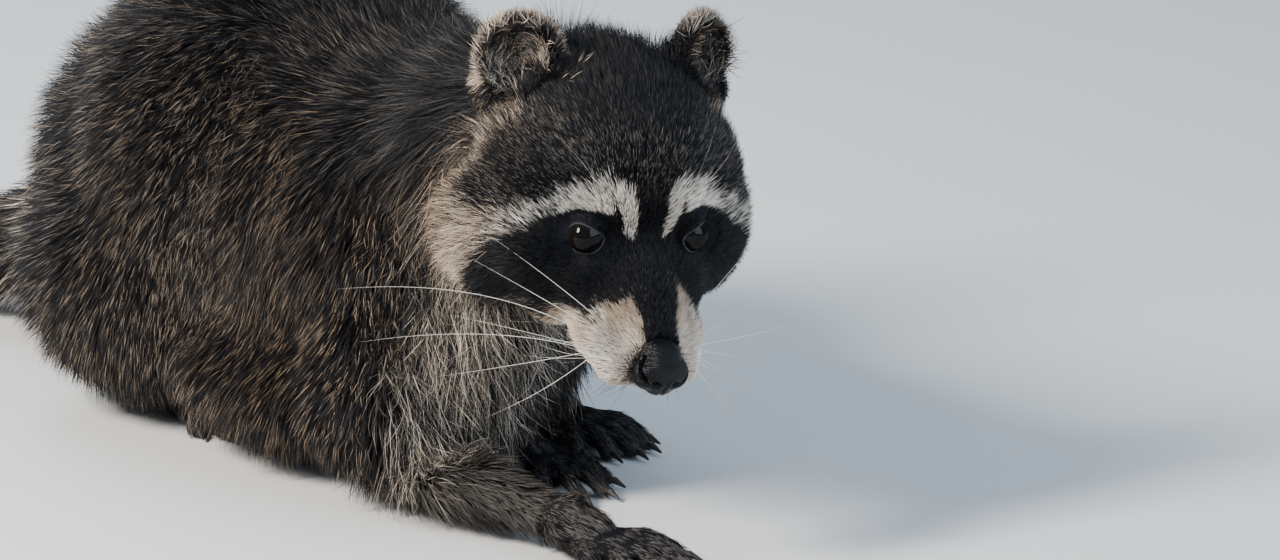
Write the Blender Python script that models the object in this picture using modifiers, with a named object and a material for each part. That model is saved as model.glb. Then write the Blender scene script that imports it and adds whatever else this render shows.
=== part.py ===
"""A raccoon at life size, crouched in mid step with its head turned to its right.

It faces -Y, with +Z up and its right side towards -X. The solids reach out to the tips of the coat.
The flesh is fused from balls and tapered limbs, then parted into named pieces by thin cuts.
Lengths in the tables are centimetres in the posing frame, whose floor is z = 0. CM turns them to metres.
Last of all, everything is slid over the floor so that the origin is under the middle of the model.
"""

import math

import bmesh
import bpy
from mathutils import Matrix, Vector

CM = 0.01
GAP = 0.0004  # metres left between pieces that meet
FLAT = 0.0002  # metres of every foot shaved off, so that it stands on a flat

# Driving dimensions, centimetres
EYE_MIDPOINT = (-2.52, -24.17, 14.31)
HEAD_YAW = -15.7  # degrees, towards its right
HEAD_TILT = 5.0  # degrees, left side down
HEAD_PITCH = 30.6  # degrees, nose down
EYE_RADIUS = 0.82
EYE_PLACE = (2.39, -0.38, -0.04)  # left eye in the head's axes
EAR_SPREAD = 4.15
TAIL_RADIUS = 3.0

# Fineness of the fused shapes: voxel in metres, passes of smoothing, triangles kept
BODY_GRAIN = (0.0020, 10, 880)
PAW_GRAIN = (0.0010, 4, 155)
EAR_SHELL_GRAIN = (0.0010, 3, 900)  # before the ear is hollowed
EAR_GRAIN = (0.0010, 5, 125)
NOSE_GRAIN = (0.0006, 4, 150)
HEAD_REACH = 0.08  # metres around the eyes where the fused shape keeps more triangles
HEAD_TRIANGLES = 920

BALL_SEGMENTS = 28
LIMB_SEGMENTS = 24
CUT_SEGMENTS = 10
SIDES = (("right", -1.0), ("left", 1.0))

COLOURS = {
    "grey_brown_coat": ((0.16, 0.13, 0.105), 0.85),
    "mask_coat": ((0.075, 0.066, 0.062), 0.85),
    "pale_coat": ((0.42, 0.38, 0.33), 0.85),
    "dark_paw": ((0.05, 0.043, 0.042), 0.7),
    "nose_leather": ((0.015, 0.015, 0.017), 0.35),
    "eye_brown": ((0.02, 0.012, 0.008), 0.06),
    "claw_horn": ((0.06, 0.05, 0.045), 0.4),
}


# ---------------------------------------------------------------- scene and materials


def clear_scene():
    for obj in list(bpy.data.objects):
        bpy.data.objects.remove(obj, do_unlink=True)


def new_collection(name):
    collection = bpy.data.collections.new(name)
    bpy.context.scene.collection.children.link(collection)
    return collection


def make_materials():
    made = {}
    for name, (colour, roughness) in COLOURS.items():
        material = bpy.data.materials.new(name)
        material.use_nodes = True
        shader = material.node_tree.nodes["Principled BSDF"]
        shader.inputs["Base Color"].default_value = (*colour, 1.0)
        shader.inputs["Roughness"].default_value = roughness
        shader.inputs["Metallic"].default_value = 0.0
        made[name] = material
    return made


# ---------------------------------------------------------------- building blocks


class Forms:
    """Balls and tapered limbs gathered in one mesh, placed in a frame given in centimetres."""

    def __init__(self, frame=None):
        self.mesh = bmesh.new()
        self.frame = Matrix.Scale(CM, 4) @ (frame or Matrix.Identity(4))

    def ball(self, centre, radii, turn=(0.0, 0.0, 0.0), segments=BALL_SEGMENTS):
        """An ellipsoid. turn holds degrees about X, Y and Z, applied in that order."""
        radii = (radii,) * 3 if isinstance(radii, (int, float)) else radii
        x, y, z = (math.radians(angle) for angle in turn)
        spin = Matrix.Rotation(z, 4, "Z") @ Matrix.Rotation(y, 4, "Y") @ Matrix.Rotation(x, 4, "X")
        place = Matrix.Translation(centre) @ spin @ Matrix.Diagonal((*radii, 1.0))
        bmesh.ops.create_uvsphere(
            self.mesh,
            u_segments=segments,
            v_segments=segments // 2,
            radius=1.0,
            matrix=self.frame @ place,
        )

    def pair(self, centre, radii, turn=(0.0, 0.0, 0.0)):
        """The same ball on both sides of the middle plane. centre is on the left."""
        x, y, z = centre
        self.ball((x, y, z), radii, turn)
        self.ball((-x, y, z), radii, (turn[0], -turn[1], -turn[2]))

    def limb(self, *stations):
        """Round cones from station to station. A station is (x, y, z, radius)."""
        for start, end in zip(stations, stations[1:]):
            a, b = Vector(start[:3]), Vector(end[:3])
            along = b - a
            turn = along.to_track_quat("Z", "Y").to_matrix().to_4x4()
            place = Matrix.Translation((a + b) / 2) @ turn
            bmesh.ops.create_cone(
                self.mesh,
                cap_ends=True,
                segments=LIMB_SEGMENTS,
                radius1=start[3],
                radius2=end[3],
                depth=along.length,
                matrix=self.frame @ place,
            )
        for x, y, z, radius in stations:
            self.ball((x, y, z), radius)

    def to_object(self, name, collection):
        mesh = bpy.data.meshes.new(name)
        self.mesh.to_mesh(mesh)
        self.mesh.free()
        obj = bpy.data.objects.new(name, mesh)
        collection.objects.link(obj)
        return obj


def apply_modifiers(obj):
    """Replaces the object's mesh by what its modifiers make of it."""
    bpy.context.view_layer.update()
    graph = bpy.context.evaluated_depsgraph_get()
    mesh = bpy.data.meshes.new_from_object(obj.evaluated_get(graph))
    obj.modifiers.clear()
    obj.data = mesh
    return obj


def thin_out(obj, triangles, kept=None):
    """Thins a quad or triangle mesh to a number of triangles. Vertices for which kept is true stay."""
    have = sum(len(face.vertices) - 2 for face in obj.data.polygons)
    thin = obj.modifiers.new("thin_out", "DECIMATE")
    thin.ratio = min(1.0, triangles / have)
    thin.use_collapse_triangulate = True
    if kept:
        group = obj.vertex_groups.new(name="kept")
        group.add([v.index for v in obj.data.vertices if kept(v.co)], 1.0, "REPLACE")
        thin.vertex_group = group.name
        thin.invert_vertex_group = True
    apply_modifiers(obj)
    obj.vertex_groups.clear()
    return obj


def melt(obj, grain):
    """Melts overlapping forms into one smooth skin."""
    voxel, passes, _ = grain
    remesh = obj.modifiers.new("fuse", "REMESH")
    remesh.mode = "VOXEL"
    remesh.voxel_size = voxel
    smooth = obj.modifiers.new("soften", "SMOOTH")
    smooth.factor = 0.5
    smooth.iterations = passes
    return apply_modifiers(obj)


def fuse(obj, grain):
    return thin_out(melt(obj, grain), grain[2])


def in_face(point):
    return (point - Vector(EYE_MIDPOINT) * CM).length < HEAD_REACH


def behind_face(point):
    return not in_face(point)


def fuse_with_fine_head(obj, grain):
    """The head keeps its own share of the triangles, so that the face stays finer than the body."""
    melt(obj, grain)
    face_now = sum(2 for face in obj.data.polygons if in_face(face.center))
    thin_out(obj, face_now + grain[2], kept=in_face)
    return thin_out(obj, HEAD_TRIANGLES + grain[2], kept=behind_face)


def keep_largest_shell(obj):
    """Drops the crumbs that a cut can leave beside the one body."""
    mesh = bmesh.new()
    mesh.from_mesh(obj.data)
    unseen = set(mesh.verts)
    shells = []
    while unseen:
        start = min(unseen, key=lambda vert: vert.index)
        unseen.discard(start)
        shell, edge_of_growth = [start], [start]
        while edge_of_growth:
            vert = edge_of_growth.pop()
            for edge in vert.link_edges:
                other = edge.other_vert(vert)
                if other in unseen:
                    unseen.discard(other)
                    shell.append(other)
                    edge_of_growth.append(other)
        shells.append(shell)
    if len(shells) > 1:
        shells.sort(key=span)
        crumbs = [vert for shell in shells[:-1] for vert in shell]
        bmesh.ops.delete(mesh, geom=crumbs, context="VERTS")
        mesh.to_mesh(obj.data)
    mesh.free()
    return obj


def span(shell):
    """The diagonal of the box around some vertices."""
    low = Vector(min(vert.co[i] for vert in shell) for i in range(3))
    high = Vector(max(vert.co[i] for vert in shell) for i in range(3))
    return (high - low).length


def boolean(obj, other, operation):
    cut = obj.modifiers.new(operation.lower(), "BOOLEAN")
    cut.operation = operation
    cut.object = other
    return keep_largest_shell(apply_modifiers(obj))


def copy_of(obj, name, collection):
    twin = obj.copy()
    twin.data = obj.data.copy()
    twin.name = name
    collection.objects.link(twin)
    return twin


def grown(obj, by, collection):
    """A copy of a closed solid with its surface moved outwards."""
    twin = copy_of(obj, obj.name + "_grown", collection)
    swell = twin.modifiers.new("swell", "DISPLACE")
    swell.mid_level = 0.0
    swell.strength = by
    return apply_modifiers(twin)


def slab(name, point, normal, collection, size=0.6):
    """A block whose one face passes through point, filling the side that normal points to."""
    mesh = bmesh.new()
    bmesh.ops.create_cube(mesh, size=1.0)
    turn = Vector(normal).to_track_quat("Z", "Y").to_matrix().to_4x4()
    lift = Matrix.Translation((0.0, 0.0, size / 2))
    bmesh.ops.transform(
        mesh,
        matrix=Matrix.Translation(point) @ turn @ lift @ Matrix.Scale(size, 4),
        verts=mesh.verts,
    )
    data = bpy.data.meshes.new(name)
    mesh.to_mesh(data)
    mesh.free()
    obj = bpy.data.objects.new(name, data)
    collection.objects.link(obj)
    return obj


class Model:
    """The collections and materials, and the ways of parting one solid from another."""

    def __init__(self):
        self.parts = new_collection("raccoon")
        self.cutters = new_collection("cutters")
        self.materials = make_materials()

    def finish(self, obj, name, material):
        obj.name = name
        obj.data.name = name
        obj.data.materials.clear()
        obj.data.materials.append(self.materials[material])
        obj.data.shade_smooth()
        return obj

    def part_by_plane(self, body, point, normal, name, material):
        """Splits off what lies on the side of the plane that normal points to."""
        direction = Vector(normal).normalized()
        at = Vector(point) * CM
        piece = copy_of(body, name, self.parts)
        boolean(piece, slab(name + "_block", at, direction, self.cutters), "INTERSECT")
        back = at - direction * GAP
        boolean(body, slab(name + "_room", back, direction, self.cutters), "DIFFERENCE")
        return self.finish(piece, name, material)

    def part_by_ball(self, body, centre, radii, turn, name, material):
        """Splits off what lies within an ellipsoid."""
        inner, outer = Forms(), Forms()
        inner.ball(centre, radii, turn, CUT_SEGMENTS)
        outer.ball(centre, [r + GAP / CM for r in radii], turn, CUT_SEGMENTS)
        piece = copy_of(body, name, self.parts)
        boolean(piece, inner.to_object(name + "_block", self.cutters), "INTERSECT")
        boolean(body, outer.to_object(name + "_room", self.cutters), "DIFFERENCE")
        return self.finish(piece, name, material)

    def shave_floor(self, obj):
        """Cuts a solid flat at the level of the floor."""
        block = slab(obj.name + "_floor", (0.0, 0.0, FLAT), (0.0, 0.0, -1.0), self.cutters, 2.0)
        return boolean(obj, block, "DIFFERENCE")


# ---------------------------------------------------------------- where the head is


def head_frame():
    """From the head's own axes, with the origin between the eyes, to the posing frame, centimetres."""
    return (
        Matrix.Translation(EYE_MIDPOINT)
        @ Matrix.Rotation(math.radians(HEAD_YAW), 4, "Z")
        @ Matrix.Rotation(math.radians(HEAD_TILT), 4, "Y")
        @ Matrix.Rotation(math.radians(HEAD_PITCH), 4, "X")
    )


HEAD = head_frame()


# ---------------------------------------------------------------- flesh forms


def head_forms(forms):
    forms.ball((0.0, 4.4, 0.3), (5.2, 5.5, 4.5))  # brain case
    forms.pair((3.2, 3.4, 0.2), (2.5, 3.4, 2.8))  # temples
    forms.ball((0.0, 1.5, 0.25), (3.9, 2.5, 2.0))  # brow
    forms.limb((0.0, 0.6, -1.7, 2.5), (0.0, -2.5, -2.3, 1.95), (0.0, -5.3, -3.0, 1.2))  # muzzle
    forms.pair((1.6, -0.3, -2.3), (2.0, 2.4, 2.1))  # upper jaw
    forms.pair((1.05, -3.2, -3.5), (1.2, 2.7, 1.25), (0.0, 0.0, 14.0))  # lips
    forms.pair((1.6, -2.8, -3.1), (1.25, 2.1, 1.3), (0.0, 0.0, 10.0))  # whisker pads
    forms.limb((0.0, 1.2, -4.8, 1.9), (0.0, -3.4, -4.5, 0.8))  # lower jaw
    forms.pair((3.6, 1.9, -1.6), (2.5, 3.0, 2.7))  # cheek bones
    forms.pair((2.5, 0.9, -3.6), (2.0, 2.6, 1.7))  # jaw angles
    forms.pair((4.55, 3.3, -3.3), (2.7, 3.2, 3.4), (0.0, 12.0, 0.0))  # cheek ruffs
    forms.ball((0.0, 7.4, -2.2), (5.6, 4.6, 5.0))  # nape


def trunk_forms(forms):
    forms.limb((-0.4, -17.0, 15.2, 5.4), (0.0, -12.0, 13.6, 6.8))  # neck
    forms.ball((0.0, -8.0, 11.4), (8.6, 8.4, 8.7))  # shoulders
    forms.ball((-2.4, -12.8, 8.0), (4.6, 4.2, 5.8))  # breast
    forms.ball((0.0, -3.2, 11.4), (9.0, 8.0, 9.3))  # withers
    forms.ball((0.0, 3.0, 12.3), (9.8, 11.0, 10.9))  # back
    forms.ball((0.0, 9.0, 10.0), (8.8, 8.6, 9.3))  # rump
    forms.ball((0.0, 13.0, 8.6), (5.6, 6.4, 6.2))  # tail root
    forms.ball((0.0, -0.5, 5.6), (8.8, 13.5, 4.8))  # belly
    forms.pair((5.6, 6.9, 6.6), (5.7, 7.4, 6.1))  # haunches
    forms.ball((-6.2, -3.6, 4.4), (3.6, 8.6, 3.8))  # fur of the right flank
    forms.ball((5.8, -3.6, 5.4), (3.6, 8.4, 3.9))  # fur of the left flank
    forms.ball((-6.3, -11.0, 4.9), (3.6, 4.6, 4.5))  # fur of the right shoulder, down to the elbow
    forms.ball((4.8, -8.4, 5.6), (3.2, 4.2, 4.6))  # fur of the left shoulder


def foreleg_forms(forms):
    forms.limb(
        (-5.6, -10.5, 8.0, 3.4),
        (-6.2, -13.4, 2.7, 2.2),
        (-5.6, -18.0, 1.9, 1.55),
        (-4.9, -22.9, 1.5, 1.25),
    )
    forms.limb((5.0, -8.5, 8.0, 3.4), (4.2, -4.2, 3.6, 2.6), (2.65, -7.8, 2.3, 1.8), (1.05, -12.0, 1.4, 1.15))


def hind_leg_forms(forms):
    forms.limb((6.0, 3.0, 6.5, 4.2), (7.0, -6.0, 5.0, 3.0), (6.1, -5.6, 2.0, 1.7))
    forms.limb((-5.6, 6.0, 6.5, 4.2), (-5.6, 2.0, 4.6, 2.8), (-4.3, 7.8, 2.0, 1.7))


def tail_forms(forms):
    forms.limb(
        (0.0, 13.5, 8.6, 3.4),
        (0.0, 18.6, 6.0, 2.8),
        (-0.6, 23.4, 3.9, 2.9),
        (-2.0, 28.2, TAIL_RADIUS, TAIL_RADIUS + 0.1),
        (-4.6, 32.6, TAIL_RADIUS, TAIL_RADIUS + 0.1),
        (-7.8, 36.2, TAIL_RADIUS - 0.2, TAIL_RADIUS - 0.1),
        (-10.8, 38.7, 2.3, 2.35),
        (-12.9, 40.2, 1.6, 1.5),
    )


def make_body(model):
    forms = Forms()
    trunk_forms(forms)
    foreleg_forms(forms)
    hind_leg_forms(forms)
    tail_forms(forms)
    forms.frame = Matrix.Scale(CM, 4) @ HEAD
    head_forms(forms)
    return fuse_with_fine_head(forms.to_object("body", model.parts), BODY_GRAIN)


# ---------------------------------------------------------------- ears, eyes and nose


def make_ear(model, side, sign):
    """A round cupped ear, facing forwards and a little outwards."""
    lean = Matrix.Rotation(math.radians(-28.0), 4, "X")
    splay = Matrix.Rotation(math.radians(33.0 * sign), 4, "Z")
    place = HEAD @ Matrix.Translation((EAR_SPREAD * sign, 6.7, 3.55)) @ splay @ lean
    shell = Forms(place)
    shell.ball((0.0, 0.0, 0.2), (2.1, 0.95, 2.2))
    shell.ball((-0.2 * sign, 0.2, -1.5), (1.75, 1.1, 1.6))
    ear = fuse(shell.to_object("ear_" + side, model.parts), EAR_SHELL_GRAIN)
    hollow = Forms(place)
    hollow.ball((0.0, -1.05, 0.0), (1.62, 1.25, 1.75))
    boolean(ear, hollow.to_object("ear_hollow_" + side, model.cutters), "DIFFERENCE")
    return fuse(ear, EAR_GRAIN)


def make_eye(model, side, sign):
    ball = Forms(HEAD)
    x, y, z = EYE_PLACE
    ball.ball((x * sign, y, z), EYE_RADIUS, segments=12)
    return ball.to_object("eye_" + side, model.parts)


def eye_opening(model, side, sign):
    """The hollow between the lids, which leaves the front of the eye in view."""
    opening = Forms(HEAD)
    x, y, z = EYE_PLACE
    centre = ((x + 0.42) * sign, y - 0.75, z + 0.1)
    opening.ball(centre, (0.95, 0.85, 0.8), (0.0, 0.0, 26.0 * sign), segments=12)
    return opening.to_object("eye_opening_" + side, model.cutters)


def make_nose(model):
    """The bare pad at the end of the muzzle."""
    pad = Forms(HEAD)
    pad.ball((0.0, -5.9, -2.75), (1.15, 0.8, 0.85))
    pad.pair((0.64, -5.85, -2.8), (0.62, 0.72, 0.78))
    pad.ball((0.0, -6.1, -3.4), (0.65, 0.5, 0.5))
    pad.ball((0.0, -5.4, -2.4), (0.85, 0.9, 0.6))
    return fuse(pad.to_object("nose", model.parts), NOSE_GRAIN)


def nostrils(model):
    holes = Forms(HEAD)
    for sign in (-1.0, 1.0):
        turn = (0.0, 25.0 * sign, 20.0 * sign)
        holes.ball((0.52 * sign, -6.7, -2.85), (0.24, 0.42, 0.2), turn, segments=8)
    return holes.to_object("nostrils", model.cutters)


# ---------------------------------------------------------------- paws and claws

# wrist (x, y, z), heading in degrees from -Y towards -X, and length scale, for each paw
PAWS = {
    "forepaw_right": ((-4.9, -22.9, 1.5), -6.0, 1.0),
    "forepaw_left": ((1.05, -12.0, 1.4), 10.0, 0.94),
    "hindpaw_right": ((-4.2, 8.0, 2.0), 4.0, 0.94),
    "hindpaw_left": ((6.0, -5.5, 2.0), -3.0, 0.94),
}
# for each toe: fan angle in degrees, length, how far ahead of the wrist it starts, and how far aside
FORE_TOES = (
    (-34.0, 2.2, 1.8, -1.1),
    (-15.0, 2.8, 2.6, -0.72),
    (0.0, 3.0, 2.8, 0.0),
    (14.0, 2.8, 2.6, 0.72),
    (31.0, 2.3, 1.9, 1.15),
)
HIND_TOES = (
    (-20.0, 2.0, 4.8, -1.2),
    (-9.0, 2.4, 5.5, -0.72),
    (0.0, 2.6, 5.7, 0.0),
    (9.0, 2.4, 5.5, 0.72),
    (20.0, 2.1, 4.8, 1.2),
)


def paw_frame(name):
    """Origin on the floor under the wrist, with -Y along the paw."""
    (x, y, _), heading, scale = PAWS[name]
    turn = Matrix.Rotation(math.radians(-heading), 4, "Z")
    return Matrix.Translation((x, y, 0.0)) @ turn @ Matrix.Scale(scale, 4)


def toe_stations(toe, thick):
    """A toe's stations: root, knuckle, and tip, in the paw's frame."""
    fan, length, ahead, aside = toe
    angle = math.radians(fan)
    step = Vector((math.sin(angle), -math.cos(angle), 0.0))
    root = Vector((aside, -ahead, 0.95))
    knuckle = root + step * length * 0.45
    knuckle.z = 1.0
    tip = root + step * length
    tip.z = 0.36
    return (*root, thick), (*knuckle, thick * 0.92), (*tip, thick * 0.86)


def make_paw(model, name, wrist_height):
    fore = name.startswith("fore")
    paw = Forms(paw_frame(name))
    toes = FORE_TOES if fore else HIND_TOES
    thick = 0.46 if fore else 0.5
    if fore:
        paw.limb((0.0, 0.35, wrist_height, 1.25), (0.0, -1.2, 1.2, 1.1))
        paw.ball((0.0, -2.0, 0.8), (1.5, 1.7, 0.92))
    else:
        paw.limb((0.0, 0.6, wrist_height, 1.6), (0.0, 0.5, 1.2, 1.32), (0.0, -3.0, 1.25, 1.2))
        paw.ball((0.0, -4.2, 0.85), (1.65, 2.3, 0.97))
    for toe in toes:
        paw.limb(*toe_stations(toe, thick))
    solid = fuse(paw.to_object(name, model.parts), PAW_GRAIN)
    for index, toe in enumerate(toes, start=1):
        add_claw(model, solid, name, index, toe_stations(toe, thick)[-1])
    return solid


def add_claw(model, paw, paw_name, index, tip):
    """A curved claw seated in its toe."""
    root = Vector(tip[:3])
    wrist = Vector((0.0, 0.0, root.z))
    ahead = (root - wrist).normalized()
    name = f"claw_{paw_name}_{index}"
    frame = Matrix.Scale(CM, 4) @ paw_frame(paw_name)
    stations = []
    for share, drop, radius in ((0.0, 0.0, 0.2), (0.55, 0.04, 0.16), (1.12, -0.22, 0.045)):
        stations.append((root + ahead * share + Vector((0.0, 0.0, drop + 0.05)), radius))
    claw = claw_tube(name, stations, frame, 0.0, model.parts)
    socket = claw_tube(name + "_socket", stations, frame, GAP / CM, model.cutters)
    boolean(paw, socket, "DIFFERENCE")
    model.finish(claw, name, "claw_horn")


def claw_tube(name, stations, frame, extra, collection):
    curve = bpy.data.curves.new(name, "CURVE")
    curve.dimensions = "3D"
    curve.bevel_depth = CM
    curve.bevel_resolution = 1
    curve.use_fill_caps = True
    line = curve.splines.new("POLY")
    line.points.add(len(stations) - 1)
    for point, (place, radius) in zip(line.points, stations):
        point.co = (*(frame @ place), 1.0)
        point.radius = radius + extra
    tube = bpy.data.objects.new(name, curve)
    collection.objects.link(tube)
    bpy.context.view_layer.update()
    graph = bpy.context.evaluated_depsgraph_get()
    mesh = bpy.data.meshes.new_from_object(tube.evaluated_get(graph))
    bpy.data.objects.remove(tube)
    welded = bmesh.new()
    welded.from_mesh(mesh)
    bmesh.ops.remove_doubles(welded, verts=welded.verts, dist=1e-6)
    bmesh.ops.recalc_face_normals(welded, faces=welded.faces)
    welded.to_mesh(mesh)
    welded.free()
    solid = bpy.data.objects.new(name, mesh)
    collection.objects.link(solid)
    return solid


# ---------------------------------------------------------------- parting the flesh


def seat_face(model, body):
    """Nose, eyes and ears are seated in the head."""
    nose = make_nose(model)
    boolean(body, grown(nose, GAP, model.cutters), "DIFFERENCE")
    boolean(nose, nostrils(model), "DIFFERENCE")
    model.finish(nose, "nose", "nose_leather")
    for side, sign in SIDES:
        eye = make_eye(model, side, sign)
        boolean(body, grown(eye, GAP, model.cutters), "DIFFERENCE")
        boolean(body, eye_opening(model, side, sign), "DIFFERENCE")
        model.finish(eye, "eye_" + side, "eye_brown")
        ear = make_ear(model, side, sign)
        boolean(ear, grown(body, GAP, model.cutters), "DIFFERENCE")
        model.finish(ear, "ear_" + side, "pale_coat")


def part_head(model, body):
    """The head is parted from the neck, and the jaw from the head along the mouth."""
    behind = HEAD @ Vector((0.0, 5.4, -0.5))
    facing = HEAD.to_3x3() @ Vector((0.0, -1.0, 0.53))
    head = model.part_by_plane(body, behind, facing, "head", "mask_coat")
    centre, radii, turn = (0.0, -1.7, -6.0), (2.3, 3.7, 1.75), (-3.0, 0.0, 0.0)
    mouth, room = Forms(HEAD), Forms(HEAD)
    mouth.ball(centre, radii, turn, CUT_SEGMENTS)
    room.ball(centre, [r + GAP / CM for r in radii], turn, CUT_SEGMENTS)
    jaw = copy_of(head, "lower_jaw", model.parts)
    boolean(jaw, mouth.to_object("mouth_block", model.cutters), "INTERSECT")
    boolean(head, room.to_object("mouth_room", model.cutters), "DIFFERENCE")
    model.finish(jaw, "lower_jaw", "pale_coat")


def part_tail(model, body):
    cuts = (
        ("tail_tip", (-6.6, 35.0, 2.8), (-0.66, 0.75, 0.0), "dark_paw"),
        ("tail_middle", (-1.5, 26.6, 3.2), (-0.3, 0.95, -0.1), "grey_brown_coat"),
        ("tail_base", (0.0, 18.2, 6.2), (0.0, 0.88, -0.46), "grey_brown_coat"),
    )
    for name, point, normal, material in cuts:
        model.part_by_plane(body, point, normal, name, material)


def part_legs(model, body):
    pieces = (
        ("forearm_right", (-5.4, -18.6, 1.6), (3.2, 6.4, 2.2), 5.0),
        ("forearm_left", (2.45, -8.0, 1.4), (2.6, 5.4, 2.6), 20.0),
        ("shank_left", (6.4, -5.2, 2.0), (2.9, 4.0, 2.4), 0.0),
        ("shank_right", (-4.5, 7.0, 1.8), (2.8, 3.8, 2.2), 0.0),
        ("thigh_left", (7.0, 4.0, 6.4), (4.8, 8.4, 6.2), 0.0),
        ("thigh_right", (-7.0, 6.0, 6.4), (4.8, 7.6, 6.2), 0.0),
        ("upper_arm_left", (6.9, -9.0, 7.2), (3.6, 4.6, 6.0), 0.0),
        ("upper_arm_right", (-6.9, -10.4, 7.0), (3.6, 4.8, 6.2), 0.0),
    )
    for name, centre, radii, turn in pieces:
        model.part_by_ball(body, centre, radii, (0.0, 0.0, turn), name, "grey_brown_coat")


def part_trunk(model, body):
    model.part_by_plane(body, (0.0, 8.0, 10.0), (0.0, 1.0, 0.0), "rump", "grey_brown_coat")
    model.part_by_plane(body, (0.0, -13.6, 12.5), (0.0, -0.86, 0.5), "neck", "grey_brown_coat")
    model.part_by_plane(body, (0.0, -4.0, 10.0), (0.0, -1.0, 0.0), "chest", "grey_brown_coat")
    model.finish(body, "loins", "grey_brown_coat")


def seat_paws(model, body):
    """Each paw keeps its own shape, and the leg above gives way to it."""
    for name, ((_, _, height), _, _) in PAWS.items():
        paw = make_paw(model, name, height)
        boolean(body, grown(paw, GAP, model.cutters), "DIFFERENCE")
        model.shave_floor(paw)
        model.finish(paw, name, "dark_paw")


def centre_on_floor(model):
    """Slides the model over the floor until the origin is under the middle of its box."""
    corners = [obj.matrix_world @ Vector(c) for obj in model.parts.objects for c in obj.bound_box]
    low = Vector(min(c[i] for c in corners) for i in range(3))
    high = Vector(max(c[i] for c in corners) for i in range(3))
    middle = (low + high) / 2
    shift = Matrix.Translation((-middle.x, -middle.y, -low.z))
    for obj in model.parts.objects:
        obj.data.transform(shift)


def hide_cutters(model):
    model.cutters.hide_render = True
    for cutter in model.cutters.objects:
        cutter.hide_render = True
        cutter.display_type = "WIRE"


def main():
    clear_scene()
    model = Model()
    body = make_body(model)
    model.shave_floor(body)
    seat_paws(model, body)
    seat_face(model, body)
    part_tail(model, body)
    part_legs(model, body)
    part_head(model, body)
    part_trunk(model, body)
    hide_cutters(model)
    centre_on_floor(model)


if __name__ == "__main__":
    main()
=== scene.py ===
"""The looks of a life-size raccoon, crouched in mid step with its head turned to its right.

One skin lies inside the solids by the depth of the coat, and the coat grows on it as joined meshes of
thin tufts. Skin and coat take their markings from the same functions of place. The raccoon faces -Y,
with +Z up and its right side towards -X. Tables of the head are centimetres in the head's own axes,
whose origin is between the eyes: X to its left, -Y to its nose, Z up.
"""

import math

import bmesh
import bpy
import numpy as np
from mathutils import Matrix, Vector
from mathutils.bvhtree import BVHTree
from mathutils.kdtree import KDTree


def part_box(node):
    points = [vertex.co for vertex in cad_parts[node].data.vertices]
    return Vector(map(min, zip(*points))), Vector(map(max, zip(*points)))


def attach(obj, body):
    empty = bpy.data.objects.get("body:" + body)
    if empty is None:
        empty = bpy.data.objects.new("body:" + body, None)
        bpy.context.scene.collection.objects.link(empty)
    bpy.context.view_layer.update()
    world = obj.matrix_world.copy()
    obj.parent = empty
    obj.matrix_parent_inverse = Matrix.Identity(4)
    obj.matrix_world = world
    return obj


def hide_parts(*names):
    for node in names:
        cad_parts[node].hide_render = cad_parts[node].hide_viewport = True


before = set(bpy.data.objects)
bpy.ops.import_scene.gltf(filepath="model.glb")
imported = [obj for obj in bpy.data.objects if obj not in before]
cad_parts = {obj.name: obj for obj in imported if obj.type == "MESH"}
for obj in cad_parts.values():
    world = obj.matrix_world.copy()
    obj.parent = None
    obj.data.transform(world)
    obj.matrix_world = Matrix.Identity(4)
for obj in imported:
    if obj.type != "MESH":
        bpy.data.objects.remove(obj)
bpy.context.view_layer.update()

bl_info = {
    "name": "Raccoon",
    "version": (1, 0, 0),
    "blender": (4, 5, 0),
    "location": "View3D > Sidebar > Raccoon",
    "description": "Skin, coat, face and stage of a life-size raccoon",
    "category": "Object",
}

CM = 0.01
MM = 0.001
SIDES = (("right", -1.0), ("left", 1.0))

# ---------------------------------------------------------------- frames of the head and the pose

HEAD_YAW = -15.7  # degrees, towards its right
HEAD_TILT = 5.0  # degrees, left side down
HEAD_PITCH = 30.6  # degrees, nose down
EYE_IN_HEAD = (2.39, -0.38, -0.04)  # the left eye's centre, in the head's axes
EYE_POSED = (-2.52, -24.17, 14.31)  # between the eyes, in the axes of the leg and tail tables


def middle_of(node):
    low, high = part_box(node)
    return (low + high) / 2


HEAD_TURN = (
    Matrix.Rotation(math.radians(HEAD_YAW), 3, "Z")
    @ Matrix.Rotation(math.radians(HEAD_TILT), 3, "Y")
    @ Matrix.Rotation(math.radians(HEAD_PITCH), 3, "X")
)
EYE_RADIUS = (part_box("eye_right")[1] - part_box("eye_right")[0]).length / math.sqrt(3.0) / 2
EYE_ROW = Vector((0.0, EYE_IN_HEAD[1], EYE_IN_HEAD[2]))
# the origin of the head's axes
BETWEEN_EYES = (middle_of("eye_right") + middle_of("eye_left")) / 2 - HEAD_TURN @ EYE_ROW * CM
HEAD_PLACE = Matrix.Translation(BETWEEN_EYES) @ HEAD_TURN.to_4x4() @ Matrix.Scale(CM, 4)
POSE = Matrix.Translation(BETWEEN_EYES - Vector(EYE_POSED) * CM) @ Matrix.Scale(CM, 4)


def to_head(points):
    """Places in the row frame, in the head's axes and centimetres."""
    turn = np.array(HEAD_TURN)
    return (points - np.array(BETWEEN_EYES)) @ turn / CM


def to_pose(points):
    """Places in the row frame, in the axes of the leg and tail tables and centimetres."""
    return (points - np.array(POSE.translation)) / CM


def eye_centre(sign):
    """The eyeball's centre, in the head's axes."""
    return np.array((EYE_IN_HEAD[0] * sign, EYE_IN_HEAD[1], EYE_IN_HEAD[2]))


def turned_by_head(vectors):
    return np.asarray(vectors, float) @ np.array(HEAD_TURN).T


# ---------------------------------------------------------------- small sums on arrays

WAVES = 5  # in one wobble
WAVE_PACE = 2.2
WAVE_PEAK = 3.2


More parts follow.
